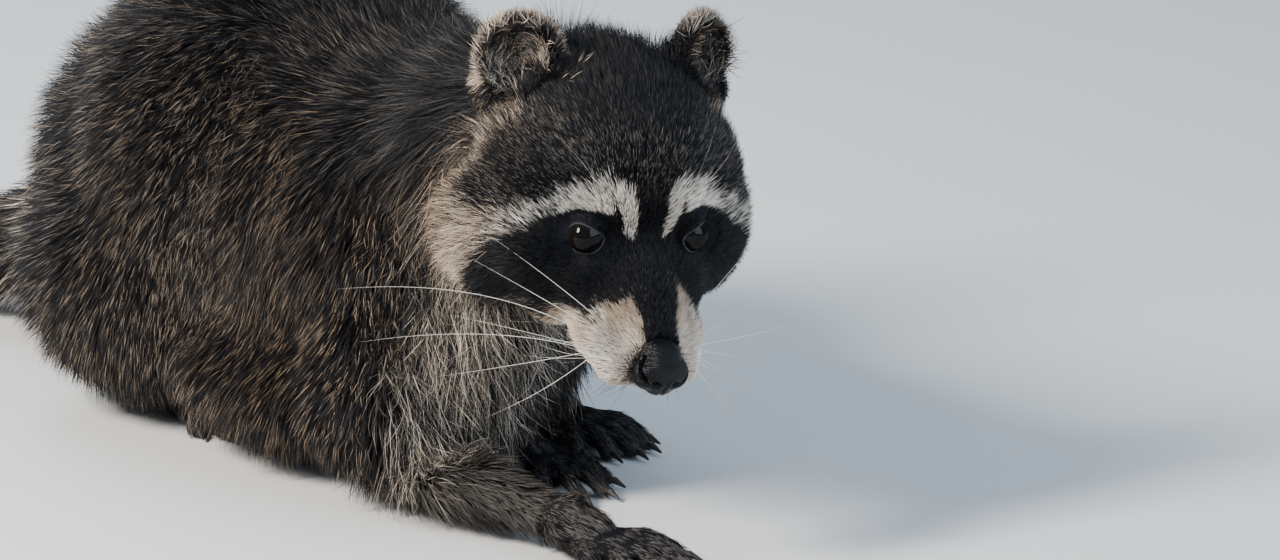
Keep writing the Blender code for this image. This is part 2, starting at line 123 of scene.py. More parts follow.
def step(low, high, x):
    """0 up to low, 1 from high on, and a smooth change between. low may be the greater."""
    t = np.clip((x - low) / (high - low), 0.0, 1.0)
    return t * t * (3.0 - 2.0 * t)


def unit(vectors):
    return vectors / np.maximum(np.linalg.norm(vectors, axis=-1, keepdims=True), 1e-12)


def flattened(vectors, normals):
    """What is left of the vectors in the plane of the skin, at length one."""
    along = np.sum(vectors * normals, axis=-1, keepdims=True)
    return unit(vectors - along * normals)


def wobble(points, scale, seed):
    """Smooth random values from -1 to 1, with waves about scale long."""
    rng = np.random.default_rng(seed)
    total = np.zeros(len(points))
    for _ in range(WAVES):
        wave = rng.normal(size=3) / scale * WAVE_PACE
        total += np.sin(points @ wave + rng.uniform(0.0, 2.0 * math.pi))
    return total / WAVE_PEAK


def along_line(points, line):
    """How far each place is from a line of straight parts, how far along it, and the line's way there."""
    line = np.array(line, float)
    away = np.full(len(points), np.inf)
    travel = np.zeros(len(points))
    heading = np.zeros((len(points), 3))
    before = 0.0
    for a, b in zip(line, line[1:]):
        length = np.linalg.norm(b - a)
        t = np.clip((points - a) @ (b - a) / length**2, 0.0, 1.0)
        far = np.linalg.norm(points - (a + t[:, None] * (b - a)), axis=1)
        closer = far < away
        away = np.where(closer, far, away)
        travel = np.where(closer, before + t * length, travel)
        heading = np.where(closer[:, None], (b - a) / length, heading)
        before += length
    return away, travel, heading


def ways_round(spokes):
    return np.arange(spokes) * 2.0 * math.pi / spokes


def ring_quads(rings, spokes):
    """Quads between each ring of points and the next, as rows of corner numbers."""
    ring, spoke = np.divmod(np.arange((rings - 1) * spokes), spokes)
    a, b = ring * spokes + spoke, ring * spokes + (spoke + 1) % spokes
    return np.column_stack([a, a + spokes, b + spokes, b])


def far_from(points, place):
    return np.linalg.norm(points - np.array(place), axis=1)


def folded(q):
    """Both halves of the head laid on its left half."""
    return np.column_stack([np.abs(q[:, 0]), q[:, 1], q[:, 2]])


def tree_of(places):
    tree = KDTree(len(places))
    for index, place in enumerate(places):
        tree.insert(place, index)
    tree.balance()
    return tree


# ---------------------------------------------------------------- meshes

WELD = 1e-6  # metres: points nearer than this are joined


def new_object(name, mesh):
    obj = bpy.data.objects.new(name, mesh)
    bpy.context.scene.collection.objects.link(obj)
    return obj


def mesh_of(name, points, faces):
    """A mesh of triangles or of quads from two arrays."""
    mesh = bpy.data.meshes.new(name)
    corners = faces.shape[1]
    mesh.vertices.add(len(points))
    mesh.vertices.foreach_set("co", np.ascontiguousarray(points, np.float32).ravel())
    mesh.loops.add(faces.size)
    mesh.loops.foreach_set("vertex_index", np.ascontiguousarray(faces, np.int32).ravel())
    mesh.polygons.add(len(faces))
    mesh.polygons.foreach_set("loop_start", np.arange(0, faces.size, corners, dtype=np.int32))
    mesh.update(calc_edges=True)
    mesh.shade_smooth()
    return mesh


def set_values(mesh, name, values):
    layer = mesh.attributes.new(name, "FLOAT", "POINT")
    layer.data.foreach_set("value", np.ascontiguousarray(values, np.float32))


def read(items, field, kind, width):
    """One field of a mesh's items, with a row for each item."""
    values = np.empty(len(items) * width, kind)
    items.foreach_get(field, values)
    return values.reshape(-1, width)


def points_of(mesh):
    return read(mesh.vertices, "co", np.float32, 3).astype(float)


def normals_of(mesh):
    return read(mesh.vertices, "normal", np.float32, 3).astype(float)


def triangles_of(mesh):
    mesh.calc_loop_triangles()
    return read(mesh.loop_triangles, "vertices", np.int32, 3)


def edges_of(mesh):
    return read(mesh.edges, "vertices", np.int32, 2)


def move_to(mesh, points):
    mesh.vertices.foreach_set("co", points.astype(np.float32).ravel())
    mesh.update()


def spread(values, edges, times):
    """Evens values out over neighbouring vertices."""
    count = np.bincount(edges.ravel(), minlength=len(values)).astype(float)
    count = np.maximum(count, 1.0)
    flat = values.reshape(len(values), -1).copy()
    for _ in range(times):
        for column in range(flat.shape[1]):
            total = np.bincount(edges[:, 0], flat[edges[:, 1], column], len(values))
            total += np.bincount(edges[:, 1], flat[edges[:, 0], column], len(values))
            flat[:, column] = 0.5 * flat[:, column] + 0.5 * total / count
    return flat.reshape(values.shape)


def remeshed(obj, voxel, passes):
    """Melts overlapping closed forms into one, and gives the new mesh. The object goes."""
    melt = obj.modifiers.new("melt", "REMESH")
    melt.mode = "VOXEL"
    melt.voxel_size = voxel
    soften = obj.modifiers.new("soften", "SMOOTH")
    soften.factor = 0.5
    soften.iterations = passes
    bpy.context.view_layer.update()
    graph = bpy.context.evaluated_depsgraph_get()
    mesh = bpy.data.meshes.new_from_object(obj.evaluated_get(graph))
    bpy.data.objects.remove(obj)
    return mesh


class Forms:
    """Balls and tapered limbs gathered in one mesh, placed by a matrix."""

    def __init__(self, place):
        self.mesh = bmesh.new()
        self.place = place

    def ball(self, centre, radii, segments=32):
        radii = (radii,) * 3 if isinstance(radii, (int, float)) else radii
        bmesh.ops.create_uvsphere(
            self.mesh,
            u_segments=segments,
            v_segments=segments // 2,
            radius=1.0,
            matrix=self.place @ Matrix.Translation(centre) @ Matrix.Diagonal((*radii, 1.0)),
        )

    def limb(self, *stations, segments=20):
        """Round cones from station to station. A station is (x, y, z, radius)."""
        for start, end in zip(stations, stations[1:]):
            a, b = Vector(start[:3]), Vector(end[:3])
            turn = (b - a).to_track_quat("Z", "Y").to_matrix().to_4x4()
            bmesh.ops.create_cone(
                self.mesh,
                cap_ends=True,
                segments=segments,
                radius1=start[3],
                radius2=end[3],
                depth=(b - a).length,
                matrix=self.place @ Matrix.Translation((a + b) / 2) @ turn,
            )
        for x, y, z, radius in stations:
            self.ball((x, y, z), radius, segments)

    def to_mesh(self, name):
        mesh = bpy.data.meshes.new(name)
        self.mesh.to_mesh(mesh)
        self.mesh.free()
        return mesh


# ---------------------------------------------------------------- materials


class Value:
    """One output of a node, so that the shader's sums are written as Python."""

    def __init__(self, shader, socket):
        self.shader = shader
        self.socket = socket

    def maths(self, operation, first, second=0.0):
        return self.shader.node("ShaderNodeMath", {"operation": operation}, {0: first, 1: second})

    def __add__(self, other):
        return self.maths("ADD", self, other)

    def __radd__(self, other):
        return self.maths("ADD", other, self)

    def __sub__(self, other):
        return self.maths("SUBTRACT", self, other)

    def __rsub__(self, other):
        return self.maths("SUBTRACT", other, self)

    def __mul__(self, other):
        return self.maths("MULTIPLY", self, other)

    def __rmul__(self, other):
        return self.maths("MULTIPLY", other, self)

    def step(self, low, high):
        """0 up to low, 1 from high on, and a smooth rise between."""
        settings = {"interpolation_type": "SMOOTHSTEP"}
        links = {"Value": self, "From Min": low, "From Max": high}
        return self.shader.node("ShaderNodeMapRange", settings, links)


class Shader:
    """A material around one Principled shader."""

    def __init__(self, name, **constants):
        self.material = bpy.data.materials.new(name)
        self.material.use_nodes = True
        self.tree = self.material.node_tree
        self.principled = self.tree.nodes["Principled BSDF"]
        for socket, value in constants.items():
            self.principled.inputs[socket.replace("_", " ")].default_value = value

    def node(self, kind, settings, links, output=0):
        """Adds a node with its settings. links gives its sockets numbers or other nodes' outputs."""
        node = self.tree.nodes.new(kind)
        for key, value in settings.items():
            setattr(node, key, value)
        for key, value in links.items():
            if isinstance(value, Value):
                self.tree.links.new(value.socket, node.inputs[key])
            else:
                node.inputs[key].default_value = value
        return Value(self, node.outputs[output])

    def attribute(self, name):
        return self.node("ShaderNodeAttribute", {"attribute_name": name}, {}, "Fac")

    def attributes(self, *names):
        return [self.attribute(name) for name in names]

    def place(self):
        return self.node("ShaderNodeTexCoord", {}, {}, "Object")

    def noise(self, scale, detail=2.0, roughness=0.5):
        """Noise from 0 to 1. scale is in waves to the metre."""
        links = {"Vector": self.place(), "Scale": scale, "Detail": detail, "Roughness": roughness}
        return self.node("ShaderNodeTexNoise", {}, links)

    def cells(self, scale):
        """Distance from the middle of small cells, for pebbled skin."""
        return self.node("ShaderNodeTexVoronoi", {}, {"Vector": self.place(), "Scale": scale})

    def mix(self, factor, first, second):
        """Two colours mixed."""
        colours = []
        for colour in (first, second):
            colours.append(colour if isinstance(colour, Value) else (*colour, 1.0))
        links = {0: factor, 6: colours[0], 7: colours[1]}
        return self.node("ShaderNodeMix", {"data_type": "RGBA"}, links, 2)

    def bump(self, height, distance, strength):
        links = {"Height": height, "Distance": distance, "Strength": strength}
        return self.node("ShaderNodeBump", {}, links)

    def feed(self, socket, value):
        self.tree.links.new(value.socket, self.principled.inputs[socket])


BLACK_HAIR = (0.0054, 0.0056, 0.0074)
DARK_UNDER = (0.0058, 0.0051, 0.0052)
WARM_UNDER = (0.0125, 0.0088, 0.0070)
GREY_BAND = (0.255, 0.215, 0.175)
TAN_BAND = (0.285, 0.195, 0.118)
CREAM_ROOT = (0.085, 0.066, 0.052)
CREAM = (0.88, 0.80, 0.69)
CREAM_TAN = (0.46, 0.335, 0.24)
LEG_BROWN = (0.084, 0.076, 0.070)
BARE_DARK = (0.016, 0.013, 0.013)
BARE_PALE = (0.035, 0.028, 0.027)
NOSE_DARK = (0.002, 0.002, 0.003)
NOSTRIL_SHADE = (0.001, 0.001, 0.001)
IRIS_DARK = (0.003, 0.002, 0.002)
PUPIL = (0.002, 0.002, 0.002)
EYEBALL_DARK = (0.006, 0.005, 0.005)
LID_DARK = (0.004, 0.004, 0.005)
LID_WET_SHEEN = (0.018, 0.019, 0.023)
HORN_DARK = (0.013, 0.011, 0.010)
BRISTLE_DARK = (0.02, 0.018, 0.018)
ROOM_COLOUR = (0.68, 0.82, 1.0)
# where the eyeball's colours change, as shares of the way from the gaze to their end
PUPIL_EDGE = (0.26, 0.32)
IRIS_EDGE = (0.66, 0.76)


def coat_material():
    """Hairs are dark below, with a pale band under a dark tip, where no mark makes them cream or black."""
    hues = bpy.context.scene.raccoon_coat
    black_hair, leg_hair = tuple(hues.black_hair), tuple(hues.leg_hair)
    grey_band, tan_band = tuple(hues.grey_band), tuple(hues.tan_band)
    shader = Shader("coat", Roughness=0.6, Specular_IOR_Level=0.16)
    along, chance, warm, pale, dark = shader.attributes("along", "chance", "warm", "pale", "dark")
    under = shader.mix(warm, DARK_UNDER, WARM_UNDER)
    stem = shader.mix(along.step(0.1, 0.55) * 0.75, under, black_hair)
    band = shader.mix(warm + (chance - 0.5) * 0.5, grey_band, tan_band)
    shifted = along + (chance - 0.3) * 0.30
    banded = shifted.step(0.62, 0.74) * (1.0 - shifted.step(0.88, 0.97))
    share = 1.0 - chance.step(0.24, 0.34)
    agouti = shader.mix(banded * share, stem, band)
    pale_hair = shader.mix(warm, tuple(hues.cream), tuple(hues.cream_tan))
    cream = shader.mix(along.step(0.0, 0.42), CREAM_ROOT, pale_hair)
    cream = shader.mix(chance.step(0.55, 1.0) * 0.75, cream, CREAM_ROOT)
    tips = shader.mix(chance.step(0.70, 0.76) * along.step(0.5, 0.9) * 0.85, black_hair, grey_band)
    black = shader.mix(shader.attribute("grizzle"), black_hair, tips)
    colour = shader.mix(pale, agouti, cream)
    marked = shader.mix(dark, colour, black)
    # hairs made even leg brown: the lower legs' own coat, and painted light on the shaded far foreleg and
    # paws
    shader.feed("Base Color", shader.mix(shader.attribute("plain"), marked, leg_hair))
    return shader.material


def skin_material():
    """The skin under the coat carries the coat's markings in its roots' colours."""
    shader = Shader("skin", Roughness=0.75, Specular_IOR_Level=0.08)
    pale, dark, bare = shader.attributes("pale", "dark", "bare")
    mottle = shader.noise(900.0)
    ground = shader.mix(mottle, DARK_UNDER, WARM_UNDER)
    ground = shader.mix(pale, ground, shader.mix(mottle, WARM_UNDER, CREAM_ROOT))
    ground = shader.mix(dark, ground, BLACK_HAIR)
    bare_skin = shader.mix(mottle, BARE_DARK, BARE_PALE)
    shader.feed("Base Color", shader.mix(bare, ground, bare_skin))
    creases = shader.noise(1400.0, 4.0, 0.65) + shader.cells(900.0) * 0.6
    shader.feed("Normal", shader.bump(creases, 0.0006, 0.7))
    return shader.material


def nose_material():
    """Moist black leather with fine pebbles, and painted shade, near black, inside the nostrils."""
    shader = Shader("nose_leather", Specular_IOR_Level=0.16)
    pebbles = shader.cells(1500.0)
    leather = shader.mix(pebbles, NOSE_DARK, tuple(bpy.context.scene.raccoon_face.nose))
    # painted shade: the nostril holes are made near black
    shader.feed("Base Color", shader.mix(shader.attribute("hole"), leather, NOSTRIL_SHADE))
    shader.feed("Roughness", 0.17 + shader.noise(700.0) * 0.13 + shader.attribute("hole") * 0.4)
    shader.feed("Normal", shader.bump(pebbles, 0.0004, 0.8))
    return shader.material


def eye_material():
    """A near black eye with a deep brown iris under a wet cornea."""
    shader = Shader("eye", Roughness=0.5, Specular_IOR_Level=0.0, Coat_Weight=0.24, Coat_Roughness=0.03)
    polar = shader.attribute("polar")
    streaks = shader.noise(1600.0, 3.0, 0.7)
    iris = shader.mix(streaks, IRIS_DARK, tuple(bpy.context.scene.raccoon_face.iris))
    inner = shader.mix(polar.step(*PUPIL_EDGE), PUPIL, iris)
    shader.feed("Base Color", shader.mix(polar.step(*IRIS_EDGE), inner, EYEBALL_DARK))
    return shader.material


def lid_material():
    """Black bare skin, moist along the edge that meets the eye. There a paler bluish colour is a painted
    sheen, beside the real gloss of its coat.
    """
    shader = Shader("eyelid", Specular_IOR_Level=0.10, Coat_Roughness=0.12)
    wet = shader.attribute("wet")
    # painted sheen: the wet edge is made paler and bluish
    shader.feed("Base Color", shader.mix(wet.step(0.55, 1.0), LID_DARK, LID_WET_SHEEN))
    shader.feed("Coat Weight", wet.step(0.6, 0.95) * 0.42)
    shader.feed("Roughness", 0.8 - wet * 0.45)
    shader.feed("Normal", shader.bump(shader.noise(2400.0, 3.0), 0.0002, 0.6))
    return shader.material


def claw_material():
    """Dark horn with fine lengthwise streaks, paler where it thins."""
    shader = Shader("claw_horn", Roughness=0.45, Specular_IOR_Level=0.3)
    streaks = shader.noise(1300.0, 4.0, 0.6)
    pale_horn = tuple(bpy.context.scene.raccoon_face.claws)
    shader.feed("Base Color", shader.mix(streaks.step(0.35, 0.75), HORN_DARK, pale_horn))
    shader.feed("Normal", shader.bump(streaks, 0.0002, 0.5))
    return shader.material


def whisker_material():
    """White whiskers, and bristles that may be dark."""
    shader = Shader("whisker", Roughness=0.3, Specular_IOR_Level=0.5)
    white = tuple(bpy.context.scene.raccoon_face.whiskers)
    shader.feed("Base Color", shader.mix(shader.attribute("shade"), white, BRISTLE_DARK))
    return shader.material


# ---------------------------------------------------------------- markings

MASK_LOW = -4.4  # height of the mask's lower edge at the cheek
STRIPE_ASIDE = 0.16  # how far the stripe leans to the left over the brow
# sideways place and height, cm, along the brow's upper edge
BROW_TOP = ((1.5, 2.25, 3.26, 4.9, 6.9, 8.3), (2.65, 2.4, 1.82, 1.02, -0.35, -1.25))
# height and sideways place, cm, along the inner and the outer edge of the upright streak
STREAK_INNER = ((0.4, 1.2, 2.0, 2.6, 3.0), (0.64, 0.58, 0.72, 0.98, 1.2))
STREAK_OUTER = ((0.0, 0.8, 1.3, 1.8, 2.4), (0.80, 1.22, 1.46, 1.66, 1.84))


def face_marks(q):
    """Cream, black and warm shares over the head, from places in the head's axes."""
    x, y, z = q.T
    side = np.abs(x - STRIPE_ASIDE * step(2.2, 1.4, z) * step(2.4, 1.4, np.abs(x)))
    ragged = wobble(q, 0.7, 1) * 0.10 + wobble(q, 0.28, 2) * 0.05
    round_side = side + 0.9 * np.maximum(0.0, y - 0.5)

    # black mask: a band over each eye that widens and drops towards the cheek
    top = 1.22 - 0.20 * np.maximum(0.0, round_side - 2.0) ** 1.75 + ragged
    low = np.maximum(-0.95 - 0.95 * (round_side - 1.3), MASK_LOW) + ragged
    outer = step(7.7, 6.3, round_side + ragged * 4)
    mask = step(-0.15, 0.15, top - z) * step(-0.2, 0.2, z - low) * outer * step(3.0, 2.2, y)
    notch = step(0.26, 0.10, np.abs(side - 1.72 + 0.3 * (1.7 - z)))
    notch *= step(0.8, 1.1, z) * step(1.95, 1.6, z)
    mask = np.maximum(mask, notch * 0.9)

    # cream brow: an upright streak beside the stripe, then an arc over the eye to the cheek
    upper = np.interp(round_side, *BROW_TOP) + ragged * 2.5
    arc = step(-0.15, 0.2, z - top) * step(-0.75, 0.6, upper - z) * step(8.6, 7.0, round_side)
    arc *= step(1.5, 1.9, side) * (0.90 - 0.50 * step(2.5, 5.3, round_side) + 0.10 * wobble(q, 0.6, 17))
    streak = step(-0.08, 0.12, side + ragged - np.interp(z, *STREAK_INNER))
    streak *= step(-0.08, 0.12, np.interp(z, *STREAK_OUTER) - side + ragged)
    streak *= step(0.15, 0.5, z) * step(3.1, 2.4, z + 2 * ragged) * (side < 2.4)
    brow = np.maximum(arc, 0.86 * streak) * step(3.6, 2.2, y)

    # black stripe from the crown down the bridge to the nose, and the brown place inside each eye
    half = 0.62 + 0.14 * np.clip(z - 1.2, 0.0, 2.4)
    stripe = step(half + 0.14, half - 0.10, side + ragged) * step(9.0, 7.0, y)
    bridge = (side < 2.0) * (z < 0.9) * (1.0 - brow)

    # cream muzzle, lips and chin, and the dark rows that the whiskers grow from
    below = np.minimum(low - 0.8 * ragged, -0.80 - 1.3 * np.maximum(0.0, 1.2 - side)) - z
    muzzle = step(-0.1, 0.25, below) * step(0.70, 0.92, side + ragged) * step(2.0, 0.5, y)
    muzzle *= 1.0 - 0.72 * step(2.6, 3.8, side)
    muzzle *= 0.76 + 0.14 * step(0.1, 0.8, below) + 0.08 * wobble(q, 0.5, 13)
    lips = step(0.0, 0.5, -3.25 - z - 0.25 * np.maximum(0.0, y + 4.0)) * (y < 2.0) * step(3.8, 2.8, side)
    chin = step(-4.0, -4.5, z) * step(3.0, 1.0, y) * step(3.6, 2.6, side)
    mouth = np.maximum.reduce([muzzle, lips * 0.8, chin * 0.8])
    rows = step(0.78, 0.98, np.sin((z + 0.45 * y) * 15.0 + ragged * 6.0)) * step(-5.6, -5.0, y)
    rows *= muzzle * step(1.0, 1.3, side) * step(-1.8, -2.6, y) * step(-2.5, -2.9, z)
    dark = np.maximum.reduce([mask, stripe, bridge * 0.66]) * step(0.45, 0.15, mouth) * (1.0 - brow)
    dark = np.maximum(dark, 0.42 * rows)

    # cheeks behind and below the mask, the crown between the ears, and the sides of the nape
    behind = step(6.5, 7.3, round_side + ragged * 2) * step(0.5, -0.4, z - upper)
    under_mask = step(0.0, 0.5, low - z) * step(2.4, 3.2, side)
    open_cheek = step(9.5, 6.0, y) * (1.0 - mask)
    cheek = np.maximum(behind, under_mask) * open_cheek
    cheek_pale = np.maximum(behind * (0.54 - 0.20 * step(7.8, 10.0, round_side)), 0.10 * under_mask)
    cheek_pale *= open_cheek * (1.0 + 0.30 * wobble(q, 1.3, 9))
    crown = step(-0.1, 0.5, z - upper) * step(0.3, 0.9, z) * (1.0 - cheek)
    crown *= 0.86 - 0.34 * step(2.0, 4.6, side) + 0.3 * step(3.6, 5.0, z + 0.25 * y)
    dark = np.maximum(dark, crown * (1.0 - brow))
    nape = step(3.2, 5.0, y) * step(3.6, 4.6, side) * step(3.6, 2.4, z)
    dark *= 1.0 - 0.75 * nape
    shade = under_mask * open_cheek * step(1.6, 0.6, low - z) * step(6.2, 5.0, side) * step(3.0, 3.8, side)
    dark = np.maximum(dark, 0.66 * shade)
    pale = np.maximum.reduce([brow, mouth, cheek_pale, 0.36 * nape])
    warm = 0.15 + 0.6 * muzzle * step(1.1, 0.1, below) + 0.62 * cheek + 0.45 * bridge
    warm += 0.4 * step(4.0, 5.5, side) * step(0.5, 3.0, z) + 0.4 * nape
    return pale, dark, warm


def grizzled(points, group):
    """How many black hairs have grey tips: most on the crown, few on the mask and the paws."""
    _, y, z = to_head(points).T
    up = z + 0.25 * y
    crown = 0.15 + 0.85 * step(1.5, 2.8, up) * (1.0 - 0.9 * step(3.8, 5.2, up))
    return np.where(among(group, *HEAD), crown, np.where(among(group, "paw"), 0.25, 0.65))


def elbow_share(p):
    """1 on the near foreleg beside the elbow, fading to 0 towards the wrist."""
    x, y, _ = p.T
    return step(-20.5, -15.5, y) * step(-2.6, -3.4, x) * (y < -9.0)


def plain_and_painted_light_marks(points, group):
    """Where hairs are one even grey-brown from root to tip: the lower legs; the paws, whose lighter brown is
    partly painted light; and the far foreleg, whose brown is painted light that lifts it out of the body's
    shadow.
    """
    p = to_pose(points)
    x, _, z = p.T
    # painted light: the far foreleg lies in the body's shadow, so its hairs are made an even, lighter brown.
    # The paws' even brown is partly their own and partly painted light.
    far_arm_painted_light = among(group, "arm") * step(-2.6, -1.0, x) * step(8.0, 5.0, z)
    even = np.where(among(group, *LOWER_LEGS), 0.68 - 0.35 * elbow_share(p), 0.80 * among(group, "paw"))
    return np.maximum(even, 0.8 * far_arm_painted_light)


def ear_marks(points, q):
    """Cream rims, grizzled hollows and black roots. The left ear is darker: it is turned away from the
    lamps, and painted shade darkens its inner rim and its hollow.
    """
    pale, dark = np.zeros(len(q)), np.zeros(len(q))
    # for each ear: how dark its inner rim is made, and how much of its hollow is grizzled pale. The right
    # ear's values are its own colour; the left ear, turned away from the lamps, gets more painted shade in
    # both.
    for (_, sign), (inner_dark_and_shade, grizzle) in zip(SIDES, ((0.40, 0.55), (0.85, 0.30))):
        e = to_ear(points, sign)
        x, y, z = e.T
        front = step(0.45, 0.0, y)
        medial = step(0.0, 0.8, -x * sign / 1.9)
        rim = step(1.08, 1.16, ear_reach(e)) * np.maximum(front, 0.8)
        cream = rim * (1.0 - inner_dark_and_shade * medial) * step(-2.2, -1.2, z)
        tangle = step(0.80, 1.0, np.hypot((x + 0.15 * sign) / 1.50, (z + 0.20) / 1.60))
        hollow = front * (1.0 - tangle)
        base = step(-0.9, -1.9, z)
        black = (1.0 - rim) * ((1.0 - front) * 0.85 + 0.6 * front * tangle)
        black += 0.75 * base * medial + (1.0 - grizzle) * 0.7 * hollow
        black = black * (1.0 - cream) + medial * rim * inner_dark_and_shade * 0.8
        here = q[:, 0] * sign > 0
        pale = np.where(here, cream + hollow * grizzle * (1.0 - base), pale)
        dark = np.where(here, black, dark)
    return np.clip(pale, 0, 1), np.clip(dark, 0, 1)


def marks(points, group):
    """How cream, how black, how warm and how bare the animal is at each place."""
    q, p = to_head(points), to_pose(points)
    x, y, z = p.T
    ear, tail, paw = among(group, "ear"), among(group, "tail"), among(group, "paw")
    legs, trunk = among(group, *LOWER_LEGS), ~among(group, *HEAD, "ear")
    pale, dark, warm = face_marks(q)
    ear_pale, ear_dark = ear_marks(points, q)
    pale, dark = np.where(ear, ear_pale, pale), np.where(ear, ear_dark, dark)
    warm = np.where(ear, 0.66, warm)

    # trunk: warmer on the shoulder, greyer on the rump, darkest along the back and nape
    patches = wobble(p, 5.0, 5) * 0.16
    shoulder = np.exp(-(((y + 9.0) / 6.0) ** 2))
    body_warm = 0.50 + 0.42 * shoulder - 0.30 * step(2.0, 14.0, y) + patches
    nape = step(12.0, 16.0, z) * step(-6.0, -11.0, y)
    ridge = step(15.0, 21.0, z) * 0.36 + 0.20 * shoulder * step(7.0, 11.0, z)
    body_dark = np.clip(0.24 + 0.45 * nape + ridge + patches * 0.5, 0.0, 0.8)
    throat = step(-11.0, -16.0, y) * step(15.0, 11.5, z)
    throat *= 1.0 - step(-2.2, -0.6, x) * step(7.0, 4.5, z)
    collar = step(6.0, 2.6, far_from(folded(q), (6.0, 4.0, -2.5)))
    pale = np.where(trunk, np.maximum(throat * 0.38, collar * 0.34), pale)
    dark = np.where(trunk, body_dark * (1.0 - 0.8 * np.maximum(throat, collar)), dark)
    warm = np.where(trunk, body_warm * (1.0 - 0.5 * throat) + 0.35 * collar, warm)

    # legs and paws
    pale = np.where(legs, 0.16 + 0.20 * elbow_share(p), pale)
    dark = np.where(legs, 0.10 + 0.45 * step(2.2, 0.8, z), dark)
    warm = np.where(legs, 0.25, warm)
    wrist = paw * step(1.2, 2.4, z)
    pale, dark = np.where(paw, 0.25 * wrist, pale), np.where(paw, 0.93 - 0.5 * wrist, dark)
    bare = np.where(paw, step(0.75, 0.45, z), 0.0)

    # tail: dark rings and a dark tip
    travelled = along_line(p, TAIL_LINE)[1]
    wave = np.sin(travelled / TAIL_RING * 2.0 * math.pi + 0.6) + wobble(p, 0.9, 7) * 0.25
    tip = step(*TAIL_TIP, travelled - TAIL_LENGTH)
    ringed = np.maximum(step(-0.10, 0.35, wave), tip) * step(5.0, 7.0, travelled)
    pale, dark = np.where(tail, 0.34 * (1.0 - ringed), pale), np.where(tail, 0.96 * ringed, dark)
    warm = np.where(tail, 0.45, warm)
    return np.clip(pale, 0, 1), np.clip(dark, 0, 1), np.clip(warm, 0, 1), bare


# the tail's middle line, in the posing axes, from its root
TAIL_LINE = (
    (0.0, 13.5, 8.6),
    (0.0, 18.6, 6.0),
    (-0.6, 23.4, 3.9),
    (-2.0, 28.2, 3.0),
    (-4.6, 32.6, 3.0),
    (-7.8, 36.2, 2.8),
    (-10.8, 38.7, 2.3),
    (-12.9, 40.2, 1.6),
)
TAIL_LENGTH = sum(math.dist(a, b) for a, b in zip(TAIL_LINE, TAIL_LINE[1:]))
TAIL_RING = 4.3  # from one dark ring to the next
TAIL_TIP = (-3.6, -2.6)  # from the tail's end, where its dark tip begins and where it is full


# ---------------------------------------------------------------- ears and paws

EAR_AT = (4.15, 6.7, 3.55)  # the left ear's middle, in the head's axes
EAR_LEAN = -28.0  # degrees, tip back
EAR_SPLAY = 33.0  # degrees, opening outwards
EAR_HALF = (1.70, 0.72, 1.80)  # half width, thickness and height
# middle and half sizes of the ellipsoid that presses the ear's hollow
EAR_HOLLOW = ((0.0, -1.08, -0.05), (1.60, 1.46, 1.72))


def ear_place(sign):
    splay = Matrix.Rotation(math.radians(EAR_SPLAY * sign), 4, "Z")
    lean = Matrix.Rotation(math.radians(EAR_LEAN), 4, "X")
    return HEAD_PLACE @ Matrix.Translation((EAR_AT[0] * sign, EAR_AT[1], EAR_AT[2])) @ splay @ lean


def to_ear(points, sign):
    """Places in the row frame, in centimetres from the ear's middle: X to the left, Z to its tip."""
    back = np.array(ear_place(sign).inverted())
    return points @ back[:3, :3].T + back[:3, 3]


def lid_forms(sign):
    """A ball just wider than the eye, from which the lids are cut."""
    lid = Forms(HEAD_PLACE)
    lid.ball(eye_centre(sign), EYE_RADIUS / CM * LID_SWELL, 40)
    return lid.to_mesh("lid_form")


def ear_reach(e):
    """How far from the ear's middle, counted in half widths."""
    return np.hypot(e[:, 0] / EAR_HALF[0], e[:, 2] / EAR_HALF[2])


def ear_forms(sign):
    """A round ear, a coat's depth thinner than the solid. Its hollow is pressed in later."""
    ear = Forms(ear_place(sign))
    ear.ball((0.0, 0.0, 0.0), EAR_HALF)
    ear.ball((-0.2 * sign, 0.2, -1.4), (1.6, 0.92, 1.5))
    return ear.to_mesh("ear_form")


# wrist (x, y, z), heading in degrees from -Y towards -X, and length scale, for each paw
PAWS = {
    "forepaw_right": ((-4.9, -22.9, 1.5), -6.0, 1.0),
    "forepaw_left": ((1.05, -12.0, 1.4), 10.0, 0.94),
    "hindpaw_right": ((-4.2, 8.0, 2.0), 4.0, 0.94),
    "hindpaw_left": ((6.0, -5.5, 2.0), -3.0, 0.94),
}
# for each toe: fan angle in degrees, length, how far ahead of the wrist it starts, and how far aside
FORE_TOES = (
    (-34.0, 2.2, 1.8, -1.1),
    (-15.0, 2.8, 2.6, -0.72),
    (0.0, 3.0, 2.8, 0.0),
    (14.0, 2.8, 2.6, 0.72),
    (31.0, 2.3, 1.9, 1.15),
)
HIND_TOES = (
    (-20.0, 2.0, 4.8, -1.2),
    (-9.0, 2.4, 5.5, -0.72),
    (0.0, 2.6, 5.7, 0.0),
    (9.0, 2.4, 5.5, 0.72),
    (20.0, 2.1, 4.8, 1.2),
)


def paw_place(name):
    """Origin on the floor under the wrist, with -Y along the paw."""
    (x, y, _), heading, scale = PAWS[name]
    turn = Matrix.Rotation(math.radians(-heading), 4, "Z")
    return POSE @ Matrix.Translation((x, y, 0.0)) @ turn @ Matrix.Scale(scale, 4)


